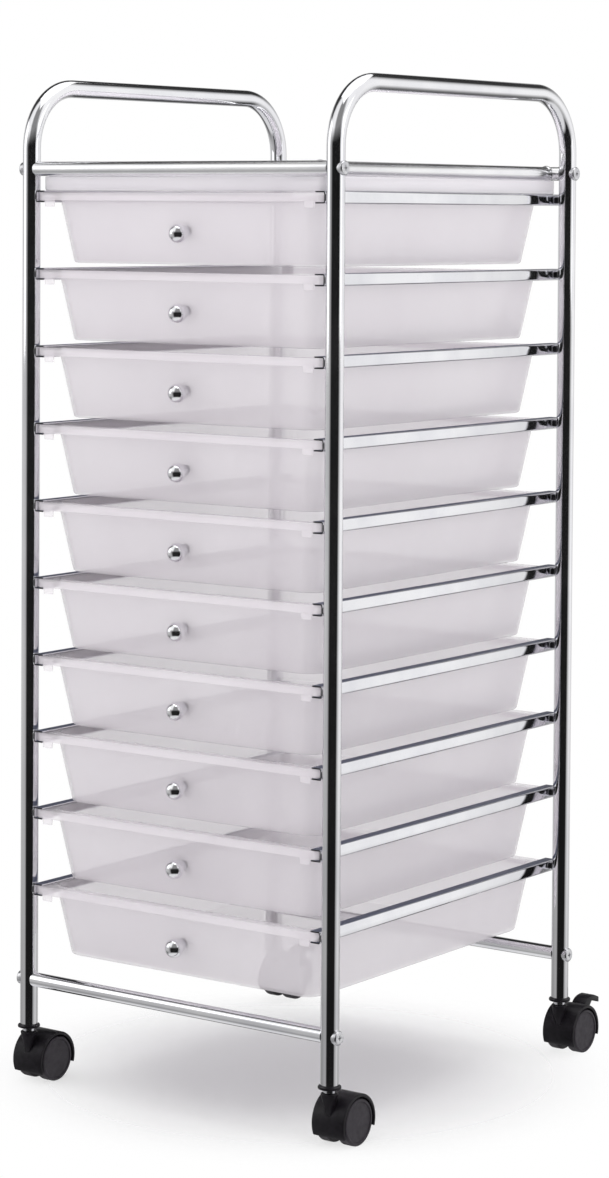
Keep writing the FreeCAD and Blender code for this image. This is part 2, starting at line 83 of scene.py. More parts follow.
class End(Enum):
    """The two ends of the cart, with the sign of y there."""

    FRONT = -1
    BACK = 1


class Pick(Enum):
    """What is selected in edit mode."""

    POINTS = "VERT"
    EDGES = "EDGE"
    FACES = "FACE"


def word(choice: Side | End) -> str:
    """Give the word that node names have for a side or an end."""
    return choice.name.lower()


def on_post(end: End, side: Side, height: float = 0.0) -> Vector:
    """Give the point on the middle line of a post at a height."""
    return Vector((side.value * POST_X, CART_Y + end.value * POST_Y, height))


# ---------------------------------------------------------------- shaping by hand


def take(piece: Piece) -> None:
    """Make a piece the active one and the only one selected.

    Args:
        piece: The piece.
    """
    bpy.ops.object.select_all(action="DESELECT")
    piece.select_set(True)
    bpy.context.view_layer.objects.active = piece


def start(name: str) -> Piece:
    """Name the primitive that was just added and open it in edit mode, all selected.

    Args:
        name: Name of the piece.

    Returns:
        The piece, in edit mode with all of it selected.
    """
    piece = bpy.context.view_layer.objects.active
    piece.name = name
    piece.data.name = name
    bpy.ops.object.mode_set(mode="EDIT")
    bpy.ops.mesh.select_mode(type=Pick.POINTS.value)
    bpy.ops.mesh.select_all(action="SELECT")
    return piece


def choose(piece: Piece, kind: Pick, test: Callable[[Vector], bool]) -> None:
    """Select the points, edges or faces of an open piece whose middle passes a test.

    Args:
        piece: The piece that is open in edit mode.
        kind: Points, edges or faces.
        test: Takes a middle and says whether it is wanted.
    """
    bpy.ops.mesh.select_mode(type=kind.value)
    bpy.ops.mesh.select_all(action="DESELECT")
    shape = bmesh.from_edit_mesh(piece.data)
    if kind is Pick.POINTS:
        middles = [(point, point.co) for point in shape.verts]
    elif kind is Pick.EDGES:
        middles = [(edge, (edge.verts[0].co + edge.verts[1].co) / 2) for edge in shape.edges]
    else:
        middles = [(face, face.calc_center_median()) for face in shape.faces]
    for element, middle in middles:
        if test(middle):
            element.select_set(True)
    shape.select_flush_mode()
    bmesh.update_edit_mesh(piece.data)


def push(x: float, y: float, z: float) -> None:
    """Extrude what is selected and move it."""
    bpy.ops.mesh.extrude_region_move(TRANSFORM_OT_translate={"value": (x, y, z)})


def close_up(piece: Piece) -> None:
    """Merge doubles, point the faces outwards and leave edit mode.

    Args:
        piece: The piece, open in edit mode.
    """
    bpy.ops.mesh.select_all(action="SELECT")
    bpy.ops.mesh.remove_doubles(threshold=TOUCH)
    bpy.ops.mesh.normals_make_consistent(inside=False)
    bpy.ops.object.mode_set(mode="OBJECT")
    take(piece)


def smooth(piece: Piece, angle: float = 34.0) -> None:
    """Shade a piece smooth up to an angle between its faces, in degrees."""
    take(piece)
    bpy.ops.object.shade_smooth_by_angle(angle=math.radians(angle))


def modified(piece: Piece, kind: str, **settings: object) -> None:
    """Give a piece a modifier with these settings and apply it at once.

    Args:
        piece: The piece.
        kind: Type of the modifier.
        settings: The modifier's own settings.
    """
    take(piece)
    added = piece.modifiers.new(kind.lower(), kind)
    for key, value in settings.items():
        setattr(added, key, value)
    bpy.ops.object.modifier_apply(modifier=added.name)


def soften(piece: Piece, width: float, segments: int = 2, angle: float = 40.0) -> None:
    """Round the sharp edges of a piece.

    Args:
        piece: The piece.
        width: Width of the round.
        segments: Faces across the round.
        angle: Edges sharper than this many degrees are rounded.
    """
    modified(piece, "BEVEL", width=width, segments=segments, limit_method="ANGLE",
             angle_limit=math.radians(angle))


def thicken(piece: Piece, wall: float) -> None:
    """Give a sheet its thickness, inwards from its faces."""
    modified(piece, "SOLIDIFY", thickness=wall, offset=-1.0, use_even_offset=True)


def settle(piece: Piece, place: Matrix) -> Piece:
    """Put a piece in its place and write that place into its mesh.

    Args:
        piece: The piece.
        place: Its placement.

    Returns:
        The piece.
    """
    take(piece)
    piece.matrix_world = place
    bpy.ops.object.transform_apply(location=True, rotation=True, scale=True)
    return piece


def another(piece: Piece, name: str, shift: Vector) -> Piece:
    """Copy a piece with a mesh of its own.

    Args:
        piece: The piece to copy.
        name: Name of the copy.
        shift: How far the copy is moved.

    Returns:
        The copy.
    """
    take(piece)
    bpy.ops.object.duplicate(linked=False)
    copy = bpy.context.view_layer.objects.active
    copy.name = name
    copy.data.name = name
    return settle(copy, Matrix.Translation(shift))


def mirrored(piece: Piece, name: str) -> Piece:
    """Copy a piece to the other side of the cart, its faces still pointing outwards.

    Args:
        piece: The piece to copy.
        name: Name of the copy.

    Returns:
        The copy.
    """
    copy = another(piece, name, Vector((0, 0, 0)))
    bpy.ops.object.mode_set(mode="EDIT")
    bpy.ops.mesh.select_all(action="SELECT")
    bpy.ops.transform.resize(value=(-1, 1, 1), center_override=(0, 0, 0))
    bpy.ops.mesh.flip_normals()
    bpy.ops.object.mode_set(mode="OBJECT")
    return copy


def together(pieces: Sequence[Piece], name: str) -> Piece:
    """Join pieces into the first of them and give it a name.

    Args:
        pieces: The pieces.
        name: Name of the whole.

    Returns:
        The whole.
    """
    take(pieces[0])
    for piece in pieces:
        piece.select_set(True)
    bpy.ops.object.join()
    pieces[0].name = name
    pieces[0].data.name = name
    return pieces[0]


def carved(piece: Piece, tool: Piece, way: str = "DIFFERENCE") -> None:
    """Cut a tool's shape out of a piece, or unite the two, and remove the tool."""
    modified(piece, "BOOLEAN", operation=way, solver="EXACT", object=tool)
    bpy.data.objects.remove(tool)


def arc(center: tuple[float, float], radius: float, first: float, last: float,
        steps: int) -> Outline:
    """Give points of an arc of an outline.

    Args:
        center: Middle of the arc.
        radius: Its radius.
        first: Angle of the first point, in degrees.
        last: Angle of the last point, in degrees.
        steps: How many runs the arc has.

    Returns:
        The points, both ends among them.
    """
    points = []
    for step in range(steps + 1):
        angle = math.radians(first + (last - first) * step / steps)
        points.append((center[0] + radius * math.cos(angle), center[1] + radius * math.sin(angle)))
    return points


def turned(name: str, outline: Outline, steps: int = 48) -> Piece:
    """Turn an outline of radius and height about Z, ring by ring, and close its ends.

    Args:
        name: Name of the piece.
        outline: Pairs of radius and height. A radius of 0 at an end makes a pole.
        steps: Points in each ring.

    Returns:
        The piece, standing on the origin.
    """
    rings = [point for point in outline if point[0] > 0]
    first_radius, first_height = rings[0]
    bpy.ops.object.select_all(action="DESELECT")
    bpy.ops.mesh.primitive_circle_add(vertices=steps, radius=first_radius, fill_type="NOTHING",
                                      location=(0, 0, 0))
    piece = start(name)
    bpy.ops.transform.translate(value=(0, 0, first_height))
    radius, height = first_radius, first_height
    for next_radius, next_height in rings[1:]:
        push(0, 0, next_height - height)
        share = next_radius / radius
        bpy.ops.transform.resize(value=(share, share, 1), center_override=(0, 0, 0))
        radius, height = next_radius, next_height
    cap(outline[-1], height)
    choose(piece, Pick.POINTS, lambda co: abs(co.xy.length - first_radius) < TOUCH / 10
           and abs(co.z - first_height) < TOUCH / 10)
    cap(outline[0], first_height)
    close_up(piece)
    return piece


def cap(end: tuple[float, float], height: float) -> None:
    """Close the selected ring at a height: with a pole where the outline ends on the axis.

    Args:
        end: Radius and height of the end of the outline.
        height: Where the selected ring lies.
    """
    if end[0] == 0:
        push(0, 0, end[1] - height)
        bpy.ops.mesh.merge(type="CENTER")
    else:
        bpy.ops.mesh.edge_face_add()


def drawn(name: str, points: Sequence[Vector]) -> Piece:
    """Draw a flat closed outline point by point and fill it, leaving it open in edit mode.

    Args:
        name: Name of the piece.
        points: The corners, in order.

    Returns:
        The piece, in edit mode with its face selected.
    """
    bpy.ops.object.select_all(action="DESELECT")
    bpy.ops.mesh.primitive_plane_add(size=0.001, location=(0, 0, 0))
    piece = start(name)
    bpy.ops.mesh.merge(type="CENTER")
    bpy.ops.transform.translate(value=points[0])
    for before, after in zip(points, points[1:]):
        push(*(after - before))
    bpy.ops.mesh.select_all(action="SELECT")
    bpy.ops.mesh.edge_face_add()
    bpy.ops.mesh.select_mode(type=Pick.FACES.value)
    bpy.ops.mesh.select_all(action="SELECT")
    return piece


def pointing(place: Vector, way: Vector) -> Matrix:
    """Give the placement that stands a turned piece at a place, its axis along a way."""
    return Matrix.Translation(place) @ way.to_track_quat("Z", "Y").to_matrix().to_4x4()


@dataclass(frozen=True)
class Ring:
    """One level outline of a moulded tub: a rectangle with round corners."""

    half_wide: float
    front: float
    back: float
    front_corner: float
    back_corner: float
    height: float


def pick_loops(piece: Piece, *numbers: int) -> None:
    """Select the loops with these numbers, each kept in a vertex group of its own.

    Args:
        piece: The piece, open in edit mode.
        numbers: The loops, counted in the order in which they were drawn.
    """
    bpy.ops.mesh.select_mode(type=Pick.POINTS.value)
    bpy.ops.mesh.select_all(action="DESELECT")
    for number in numbers:
        piece.vertex_groups.active_index = number
        bpy.ops.object.vertex_group_select()


def round_corners(piece: Piece, corner: Vector, radius: float, steps: int) -> None:
    """Round the corner of a flat outline at a point, and the one across from it in x.

    Args:
        piece: The piece, open in edit mode.
        corner: The corner on the right side.
        radius: Radius of the round.
        steps: Faces across it.
    """
    choose(piece, Pick.POINTS,
           lambda co: (Vector((abs(co.x), co.y, co.z)) - corner).length < TOUCH)
    bpy.ops.mesh.bevel(offset=radius, offset_type="OFFSET", segments=steps, affect="VERTICES",
                       clamp_overlap=False)


def moulded(name: str, rings: Sequence[Ring], steps: int) -> Piece:
    """Bridge a chain of level outlines to one closed shell, its first and last one filled.

    The outlines are drawn a metre above each other, because flat neighbours are bridged
    crosswise, and each goes down to its own height at the end.

    Args:
        name: Name of the piece.
        rings: The outlines, in the order in which they are bridged.
        steps: Faces across each round corner.

    Returns:
        The piece, in object mode.
    """
    bpy.ops.object.select_all(action="DESELECT")
    bpy.ops.mesh.primitive_plane_add(size=2, location=(0, 0, 0))
    piece = start(name)
    for number, ring in enumerate(rings):
        middle = (0, (ring.front + ring.back) / 2, number)
        if number:
            bpy.ops.mesh.select_all(action="DESELECT")
            bpy.ops.mesh.primitive_plane_add(size=2, location=middle)
        else:
            bpy.ops.transform.translate(value=middle)
        deep = (ring.back - ring.front) / 2
        bpy.ops.transform.resize(value=(ring.half_wide, deep, 1), center_override=middle)
        for end_y, radius in ((ring.front, ring.front_corner), (ring.back, ring.back_corner)):
            round_corners(piece, Vector((ring.half_wide, end_y, number)), radius, steps)
        bpy.ops.mesh.select_linked()
        bpy.ops.object.vertex_group_assign_new()
        bpy.ops.mesh.delete(type="ONLY_FACE")
    for number in range(len(rings) - 1):
        pick_loops(piece, number, number + 1)
        bpy.ops.mesh.bridge_edge_loops()
    for number in (0, len(rings) - 1):
        pick_loops(piece, number)
        bpy.ops.mesh.edge_face_add()
    for number, ring in enumerate(rings):
        pick_loops(piece, number)
        bpy.ops.transform.translate(value=(0, 0, ring.height - number))
    close_up(piece)
    bpy.ops.object.vertex_group_remove(all=True)
    return piece


# ---------------------------------------------------------------- finishes


def linear(hex_colour: str) -> tuple[float, float, float, float]:
    """Turn an sRGB colour such as #C8C8CA into the linear colour that a socket takes.

    Args:
        hex_colour: The colour.

    Returns:
        Its red, green and blue, and an alpha of 1.
    """
    parts = []
    for index in (1, 3, 5):
        share = int(hex_colour[index:index + 2], 16) / 255
        parts.append(share / 12.92 if share <= 0.04045 else ((share + 0.055) / 1.055) ** 2.4)
    return parts[0], parts[1], parts[2], 1.0


def add_node(tree: Tree, kind: str, inputs: dict[str | int, object],
             stops: Sequence[tuple[float, float | str]] = (), **settings: object) -> Node:
    """Add one node, set it and link it.

    Args:
        tree: The node tree.
        kind: Type of the node, without the ShaderNode that every type begins with.
        inputs: What goes into its sockets, by name or number: a value, an output socket, or
            another node, of which the first output in use is linked.
        stops: For a colour ramp, positions from 0 to 1, each with a grey value or an sRGB colour.
        settings: The node's own settings.

    Returns:
        The node.
    """
    made = tree.nodes.new("ShaderNode" + kind)
    for key, value in settings.items():
        setattr(made, key, value)
    for key, value in inputs.items():
        if isinstance(value, Node):
            value = next(socket for socket in value.outputs if socket.enabled)
        if isinstance(value, bpy.types.NodeSocket):
            tree.links.new(value, made.inputs[key])
        else:
            made.inputs[key].default_value = value
    if stops:
        elements = made.color_ramp.elements
        while len(elements) < len(stops):
            elements.new(1.0)
        for element, (position, value) in zip(elements, stops):
            element.position = position
            element.color = linear(value) if isinstance(value, str) else (value, value, value, 1.0)
    return made


@dataclass(frozen=True)
class Finish:
    """A finish: what every one has, and the ways to vary it over a surface."""

    name: str
    light: str
    dark: str
    roughness: float
    roughness_spread: float
    patch: float = 0.05
    grain: float = 0.0008
    grain_depth: float = 0.00002

    def noise(self, tree: Tree, size: float, detail: float,
              stretch: tuple[float, float, float] = (1.0, 1.0, 1.0)) -> Node:
        """Add a noise whose lumps have a real size.

        Args:
            tree: The node tree.
            size: Size of one lump.
            detail: Finer layers on top of it.
            stretch: Shares by which the lumps are squeezed along x, y and z.

        Returns:
            The noise, from 0 to 1.
        """
        place = add_node(tree, "TexCoord", {})
        turned_place = add_node(tree, "Mapping",
                                {"Vector": place.outputs["Object"], "Scale": stretch})
        return add_node(tree, "TexNoise",
                        {"Vector": turned_place, "Scale": 1.0 / size, "Detail": detail})

    def surface(self, tree: Tree, colour: Node, wear: Node,
                span: tuple[float, float] = (0.3, 0.7), detail: float = 2.0) -> dict[str, object]:
        """Give what every finish has: its colour, a roughness that follows its wear, its grain.

        Args:
            tree: The node tree.
            colour: The colour.
            wear: What the roughness follows.
            span: The values of the wear at which the roughness is lowest and highest.
            detail: Finer layers on top of the grain.

        Returns:
            What goes into the shader's sockets, by name.
        """
        rough = add_node(tree, "MapRange",
                         {"Value": wear, "From Min": span[0], "From Max": span[1],
                          "To Min": self.roughness,
                          "To Max": self.roughness + self.roughness_spread})
        bump = add_node(tree, "Bump", {"Height": self.noise(tree, self.grain, detail),
                                       "Strength": 1.0, "Distance": self.grain_depth})
        return {"Base Color": colour, "Roughness": rough, "Normal": bump}

    def sockets(self, tree: Tree) -> dict[str, object]:
        """Give what goes into the shader's sockets, by name."""
        raise NotImplementedError

    def material(self) -> bpy.types.Material:
        """Build the material, or give the one that was built before.

        Returns:
            The material.
        """
        known = bpy.data.materials.get(self.name)
        if known is not None:
            return known
        made = bpy.data.materials.new(self.name)
        made.use_nodes = True
        tree = made.node_tree
        tree.nodes.clear()
        shader = add_node(tree, "BsdfPrincipled", self.sockets(tree))
        add_node(tree, "OutputMaterial", {"Surface": shader})
        return made


@dataclass(frozen=True)
class PlatedMetal(Finish):
    """Bright plating over steel, with faint polishing lines, smudges and dull specks."""

    line_length: float = 0.012
    line_width: float = 0.0009
    speck: float = 0.0016

    def sockets(self, tree: Tree) -> dict[str, object]:
        """Make the plating bright, smudged and a little lined.

        Args:
            tree: The material's node tree.

        Returns:
            What goes into the shader's sockets, by name.
        """
        smudges = self.noise(tree, self.patch, 4.0)
        colour = add_node(tree, "ValToRGB", {0: smudges}, ((0.3, self.dark), (0.62, self.light)))
        lines = self.noise(tree, self.line_width, 2.0,
                           (1.0, 1.0, self.line_width / self.line_length))
        specks = self.noise(tree, self.speck, 1.0)
        mixed = add_node(tree, "Math", {0: lines, 1: specks}, operation="MULTIPLY")
        dulled = add_node(tree, "Math", {0: mixed, 1: smudges}, operation="ADD")
        return {"Metallic": 1.0} | self.surface(tree, colour, dulled, (0.5, 1.1))


@dataclass(frozen=True)
class RailSheet(PlatedMetal):
    """Plated sheet with a painted slate-grey reflection on its upward faces and a painted
    near-black reflection on its front ends, both less metallic and duller.
    """

    # Painted reflections: slate grey on the upward faces for the shaded gap they would mirror, near
    # black on the front ends for the dark room.
    painted_slate_reflection: str = "#4E5264"
    painted_dark_reflection: str = "#151418"
    painted_face_roughness: float = 0.55

    def sockets(self, tree: Tree) -> dict[str, object]:
        """Plate the sheet, then paint a slate-grey reflection on the faces that look up and a
        near-black reflection on the front ends, and dull both.

        Args:
            tree: The material's node tree.

        Returns:
            What goes into the shader's sockets, by name.
        """
        plated = super().sockets(tree)
        place = add_node(tree, "TexCoord", {})
        normal = add_node(tree, "SeparateXYZ", {0: place.outputs["Normal"]})
        # Masks of the painted reflections: faces that look up, and faces that look to the front.
        painted_slate_mask = add_node(tree, "MapRange",
                          {"Value": normal.outputs["Z"], "From Min": 0.7, "From Max": 0.95})
        painted_dark_mask = add_node(tree, "MapRange",
                           {"Value": normal.outputs["Y"], "From Min": -0.8, "From Max": -0.95})
        colour = plated["Base Color"]
        # Paint the two reflections into the plating's colour.
        for mask, tone in ((painted_slate_mask, self.painted_slate_reflection), (painted_dark_mask, self.painted_dark_reflection)):
            colour = add_node(tree, "Mix", {0: mask, 6: colour, 7: linear(tone)},
                              data_type="RGBA")
        painted_faces = add_node(tree, "Math", {0: painted_slate_mask, 1: painted_dark_mask}, operation="MAXIMUM")
        plating = add_node(tree, "MapRange", {"Value": painted_faces, "To Min": 1.0, "To Max": 0.0})
        dull = add_node(tree, "Math",
                        {0: painted_faces, 1: self.painted_face_roughness, 2: plated["Roughness"]},
                        operation="MULTIPLY_ADD")
        return plated | {"Base Color": colour, "Metallic": plating, "Roughness": dull}


@dataclass(frozen=True)
class FrostedPlastic(Finish):
    """Cloudy moulded plastic that takes in light on one face and gives it off on the other."""

    veil: float = 0.45
    clear: float = 0.2
    gloss: float = 0.08
    flow: float = 0.11

    def sockets(self, tree: Tree) -> dict[str, object]:
        """Make the plastic cloudy, with flow marks from the moulding and fine scuffs.

        Args:
            tree: The material's node tree.

        Returns:
            What goes into the shader's sockets, by name.
        """
        clouds = self.noise(tree, self.flow, 3.0, (1.0, 1.0, 0.45))
        colour = add_node(tree, "ValToRGB", {0: clouds}, ((0.3, self.dark), (0.68, self.light)))
        scuffs = self.noise(tree, self.patch * 0.1, 6.0, (0.25, 0.25, 1.0))
        return {"Alpha": self.veil, "Transmission Weight": self.clear, "IOR": 1.4,
                "Coat Weight": 1.0, "Coat Roughness": self.gloss,
                "Coat IOR": 1.45} | self.surface(tree, colour, scuffs)


@dataclass(frozen=True)
class MouldedNylon(Finish):
    """Dark moulded plastic with a fine satin texture, rubbed paler in patches."""

    dust: str = "#4A4549"
    dustiest: float = 0.35
    shine: float = 0.5

    def sockets(self, tree: Tree) -> dict[str, object]:
        """Make the plastic satin, with dusty patches and a spark-eroded grain.

        Args:
            tree: The material's node tree.

        Returns:
            What goes into the shader's sockets, by name.
        """
        patches = self.noise(tree, self.patch, 4.0)
        base = add_node(tree, "ValToRGB", {0: patches}, ((0.35, self.dark), (0.65, self.light)))
        rubs = add_node(tree, "MapRange",
                        {"Value": self.noise(tree, self.patch * 0.22, 6.0), "From Min": 0.3,
                         "From Max": 0.7, "To Min": 0.0, "To Max": self.dustiest})
        colour = add_node(tree, "Mix", {0: rubs, 6: base, 7: linear(self.dust)},
                          data_type="RGBA")
        wear = self.noise(tree, self.patch * 0.3, 5.0)
        return {"Specular IOR Level": self.shine} | self.surface(tree, colour, wear, detail=3.0)


# Drawn steel tube, polished and chrome plated: a near mirror with faint lengthwise polishing lines.
TUBE_CHROME = PlatedMetal("chrome_plated_tube", "#F6F6F8", "#E8E8EC", 0.05, 0.07,
                          patch=0.07, grain=0.004, grain_depth=0.0000015)
# The same tube round the shelf, brushed after welding: it blurs what it mirrors to a pale band.
RING_CHROME = PlatedMetal("brushed_chrome_tube", "#FCFCFD", "#F2F2F5", 0.2, 0.08,
                          patch=0.07, grain=0.004, grain_depth=0.0000015)
# Cold-rolled sheet, folded and chrome plated: flat mirrors, with a painted slate-grey reflection on
# the upward faces and a painted near-black reflection on the front ends.
RAIL_CHROME = RailSheet("chrome_plated_sheet", "#F2F2F5", "#E6E6EB", 0.035, 0.05,
                        patch=0.06, grain=0.004, grain_depth=0.0000012)
# Turned or cast ball, chrome plated: a bright ball with one dark spot of the room in it.
KNOB_CHROME = PlatedMetal("chrome_plated_ball", "#F8F8FA", "#ECECEF", 0.09, 0.06,
                          patch=0.01, grain=0.002, grain_depth=0.0000008, line_length=0.004)
# Cold-headed steel, zinc plated: greyer and duller than the chrome round it.
SCREW_STEEL = PlatedMetal("zinc_plated_screw", "#DADADC", "#BDBDC2", 0.2, 0.16,
                          patch=0.004, grain=0.0006, grain_depth=0.000004, line_length=0.003)
# Turned steel, nickel plated: bright rings with fine tool marks.
STEM_STEEL = PlatedMetal("nickel_plated_stem", "#D6D6DA", "#B4B4BC", 0.14, 0.14,
                         patch=0.006, grain=0.0008, grain_depth=0.000003, line_length=0.004)
# Injection-moulded polypropylene, frosted: see-through but cloudy, with a faint lilac cast.
DRAWER_FROST = FrostedPlastic("frosted_polypropylene", "#FDF9FD", "#F7F2F7", 0.42, 0.12,
                              patch=0.05, grain=0.0006, grain_depth=0.000003)
# The tray's thicker moulding of the same plastic, a little more cloudy.
TRAY_FROST = FrostedPlastic("frosted_polypropylene_tray", "#FAF7FB", "#F3F0F5", 0.42, 0.12,
                            patch=0.06, grain=0.0006, grain_depth=0.000003, veil=0.6)
# Glass-filled nylon from a spark-eroded mould: near black and satin, dusty in its hollows. The
# real grain of about 0.3 mm is drawn at 1.1 mm, because finer it doesn't show.
HOOD_NYLON = MouldedNylon("moulded_nylon_hood", "#121014", "#0C0A0E", 0.3, 0.16,
                          patch=0.02, grain=0.0011, grain_depth=0.00006, dust="#2B272E",
                          shine=0.2)
# The wheels' nylon, rubbed by the floor: a shade paler, with the same coarser grain.
WHEEL_NYLON = MouldedNylon("moulded_nylon_wheel", "#2D292F", "#252127", 0.42, 0.16,
                           patch=0.015, grain=0.0011, grain_depth=0.00005, dust="#3E3941",
                           shine=0.3)


def finished(piece: Piece, finish: Finish, body: str, nodes: Sequence[str]) -> None:
    """Dress a piece and tie it to its body and the nodes that it stands for.

    Args:
        piece: The piece.
        finish: Its finish.
        body: The body that it rides on.
        nodes: The nodes that it stands for.
    """
    piece.data.materials.clear()
    piece.data.materials.append(finish.material())
    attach(piece, body)
    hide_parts(*nodes)
    log.info("%s: %d faces, rides on %s", piece.name, len(piece.data.polygons), body)


# ---------------------------------------------------------------- the frame


@dataclass
class TubeFrame:
    """The two bent side tubes, the crossbars and the welded ring round the shelf."""

    tube_radius: float = 0.008
    tube_wall: float = 0.0012
    bend_radius: float = 0.055
    top_axis: float = 0.896
    tube_bottom: float = 0.0535
    bar_radius: float = 0.00635
    shelf_bar_height: float = 0.823
    crossbar_height: float = 0.095
    shelf_side_bar_x: float = 0.146
    into_post: float = 0.006
    weld_flare: float = 0.004
    edge_round: float = 0.0003
    bend_steps: int = 14

    def side_tube(self) -> Piece:
        """Bend one tube up a front post, over the handle and down a back post, on x = 0.

        Returns:
            The tube.
        """
        front = CART_Y - POST_Y
        back = CART_Y + POST_Y
        bend_z = self.top_axis - self.bend_radius
        bpy.ops.object.select_all(action="DESELECT")
        bpy.ops.mesh.primitive_circle_add(vertices=40, radius=self.tube_radius,
                                          fill_type="NOTHING",
                                          location=(0, front, self.tube_bottom))
        piece = start("side_tube")
        push(0, 0, bend_z - self.tube_bottom)
        bpy.ops.mesh.spin(steps=self.bend_steps, angle=math.radians(90), axis=(1, 0, 0),
                          center=(0, front + self.bend_radius, bend_z))
        push(0, back - front - 2 * self.bend_radius, 0)
        bpy.ops.mesh.spin(steps=self.bend_steps, angle=math.radians(90), axis=(1, 0, 0),
                          center=(0, back - self.bend_radius, bend_z))
        push(0, 0, self.tube_bottom - bend_z)
        bpy.ops.object.mode_set(mode="OBJECT")
        bpy.ops.object.transform_apply(location=True, rotation=True, scale=True)
        bpy.ops.object.mode_set(mode="EDIT")
        close_up(piece)
        thicken(piece, self.tube_wall)
        soften(piece, self.edge_round, 2, 60)
        smooth(piece)
        return piece

    def bar(self, name: str, first: Vector, last: Vector, flare: float) -> Piece:
        """Make a straight bar with a small weld collar swelling at each end.

        Args:
            name: Name of the bar.
            first: Middle of its first end.
            last: Middle of its last end.
            flare: Length of the swelling at each end, or 0 for none.

        Returns:
            The bar.
        """
        run = (last - first).length
        radius = self.bar_radius
        if flare:
            swell = [(radius + 0.0011, 0.0), (radius + 0.0009, flare * 0.35),
                     (radius + 0.0003, flare * 0.75), (radius, flare)]
        else:
            swell = [(radius, 0.0)]
        outline = swell + [(radius, run - (flare or 0.001))]
        outline += [(size, run - along) for size, along in reversed(swell[:-1])]
        if not flare:
            outline.append((radius, run))
        piece = turned(name, outline, 40)
        smooth(piece)
        return settle(piece, pointing(first, last - first))

    def across(self, name: str, end: End, height: float) -> Piece:
        """Make a plain bar from post to post.

        Args:
            name: Name of the bar.
            end: The end of the cart at which it runs.
            height: Height of its middle line.

        Returns:
            The bar.
        """
        reach, y = POST_X - self.into_post, CART_Y + end.value * POST_Y
        return self.bar(name, Vector((-reach, y, height)), Vector((reach, y, height)), 0.0)

    def build(self) -> None:
        """Build the tubes of the frame and dress them."""
        tube = self.side_tube()
        for side in Side:
            piece = another(tube, f"{word(side)}_side_tube", Vector((side.value * POST_X, 0, 0)))
            finished(piece, TUBE_CHROME, "cart_frame",
                     [f"{word(side)}_side_frame"])
        bpy.data.objects.remove(tube)
        for end in End:
            piece = self.across(f"{word(end)}_crossbar_tube", end, self.crossbar_height)
            finished(piece, TUBE_CHROME, "cart_frame", [f"{word(end)}_crossbar"])
        bars = [self.across("shelf_bar", end, self.shelf_bar_height) for end in End]
        depth = POST_Y - self.bar_radius + self.tube_wall
        for side in Side:
            first, last = (Vector((side.value * self.shelf_side_bar_x, CART_Y + way * depth,
                                   self.shelf_bar_height)) for way in (-1, 1))
            bars.append(self.bar("shelf_bar", first, last, self.weld_flare))
        finished(together(bars, "shelf_ring_tubes"), RING_CHROME, "cart_frame",
                 ["shelf_frame"])


@dataclass
class FrameScrews:
    """The eight screws that hold the bars between the posts."""

    head_radius: float = 0.0062
    head_rise: float = 0.0022
    head_round: float = 0.0014
    tube_radius: float = 0.008
    recess_long: float = 0.0042
    recess_wide: float = 0.0011
    recess_deep: float = 0.0014
    head_sunk: float = 0.0035
    edge_round: float = 0.00012
    heights: tuple[float, float] = (0.095, 0.823)

    def cross(self, top: float) -> Piece:
        """Make the tool that cuts a cross recess.

        Args:
            top: Height of the mouth of the recess.

        Returns:
            The tool.
        """
        arms = []
        for wide, deep in ((self.recess_long, self.recess_wide),
                           (self.recess_wide, self.recess_long)):
            arm = drawn("recess_arm", [
                Vector((x * wide / 2, y * deep / 2, top - self.recess_deep))
                for x, y in ((-1, -1), (1, -1), (1, 1), (-1, 1))])
            push(0, 0, self.recess_deep + 0.001)
            close_up(arm)
            arms.append(arm)
        carved(arms[0], arms[1], "UNION")
        return arms[0]

    def screw(self) -> Piece:
        """Make one domed head with its cross recess, its top pointing up from the post's middle.

        Returns:
            The head.
        """
        top = self.tube_radius + self.head_rise
        edge = self.head_radius - self.head_round
        outline = [(self.head_radius, self.tube_radius - self.head_sunk),
                   (self.head_radius, top - self.head_round)]
        outline += arc((edge, top - self.head_round), self.head_round, 0, 78, 6)[1:]
        outline += [(edge * 0.72, top - 0.00008), (0.0, top)]
        piece = turned("frame_screw", outline, 48)
        carved(piece, self.cross(top))
        soften(piece, self.edge_round, 2, 50)
        smooth(piece, 30)
        return piece

    def build(self) -> None:
        """Put the screws in the posts and dress them."""
        one = self.screw()
        screws = []
        for side in Side:
            for end in End:
                for height in self.heights:
                    copy = another(one, "frame_screw", Vector((0, 0, 0)))
                    place = pointing(on_post(end, side, height), Vector((side.value, 0, 0)))
                    screws.append(settle(copy, place))
        bpy.data.objects.remove(one)
        finished(together(screws, "frame_screw_heads"), SCREW_STEEL, "cart_frame",
                 ["frame_screws"])


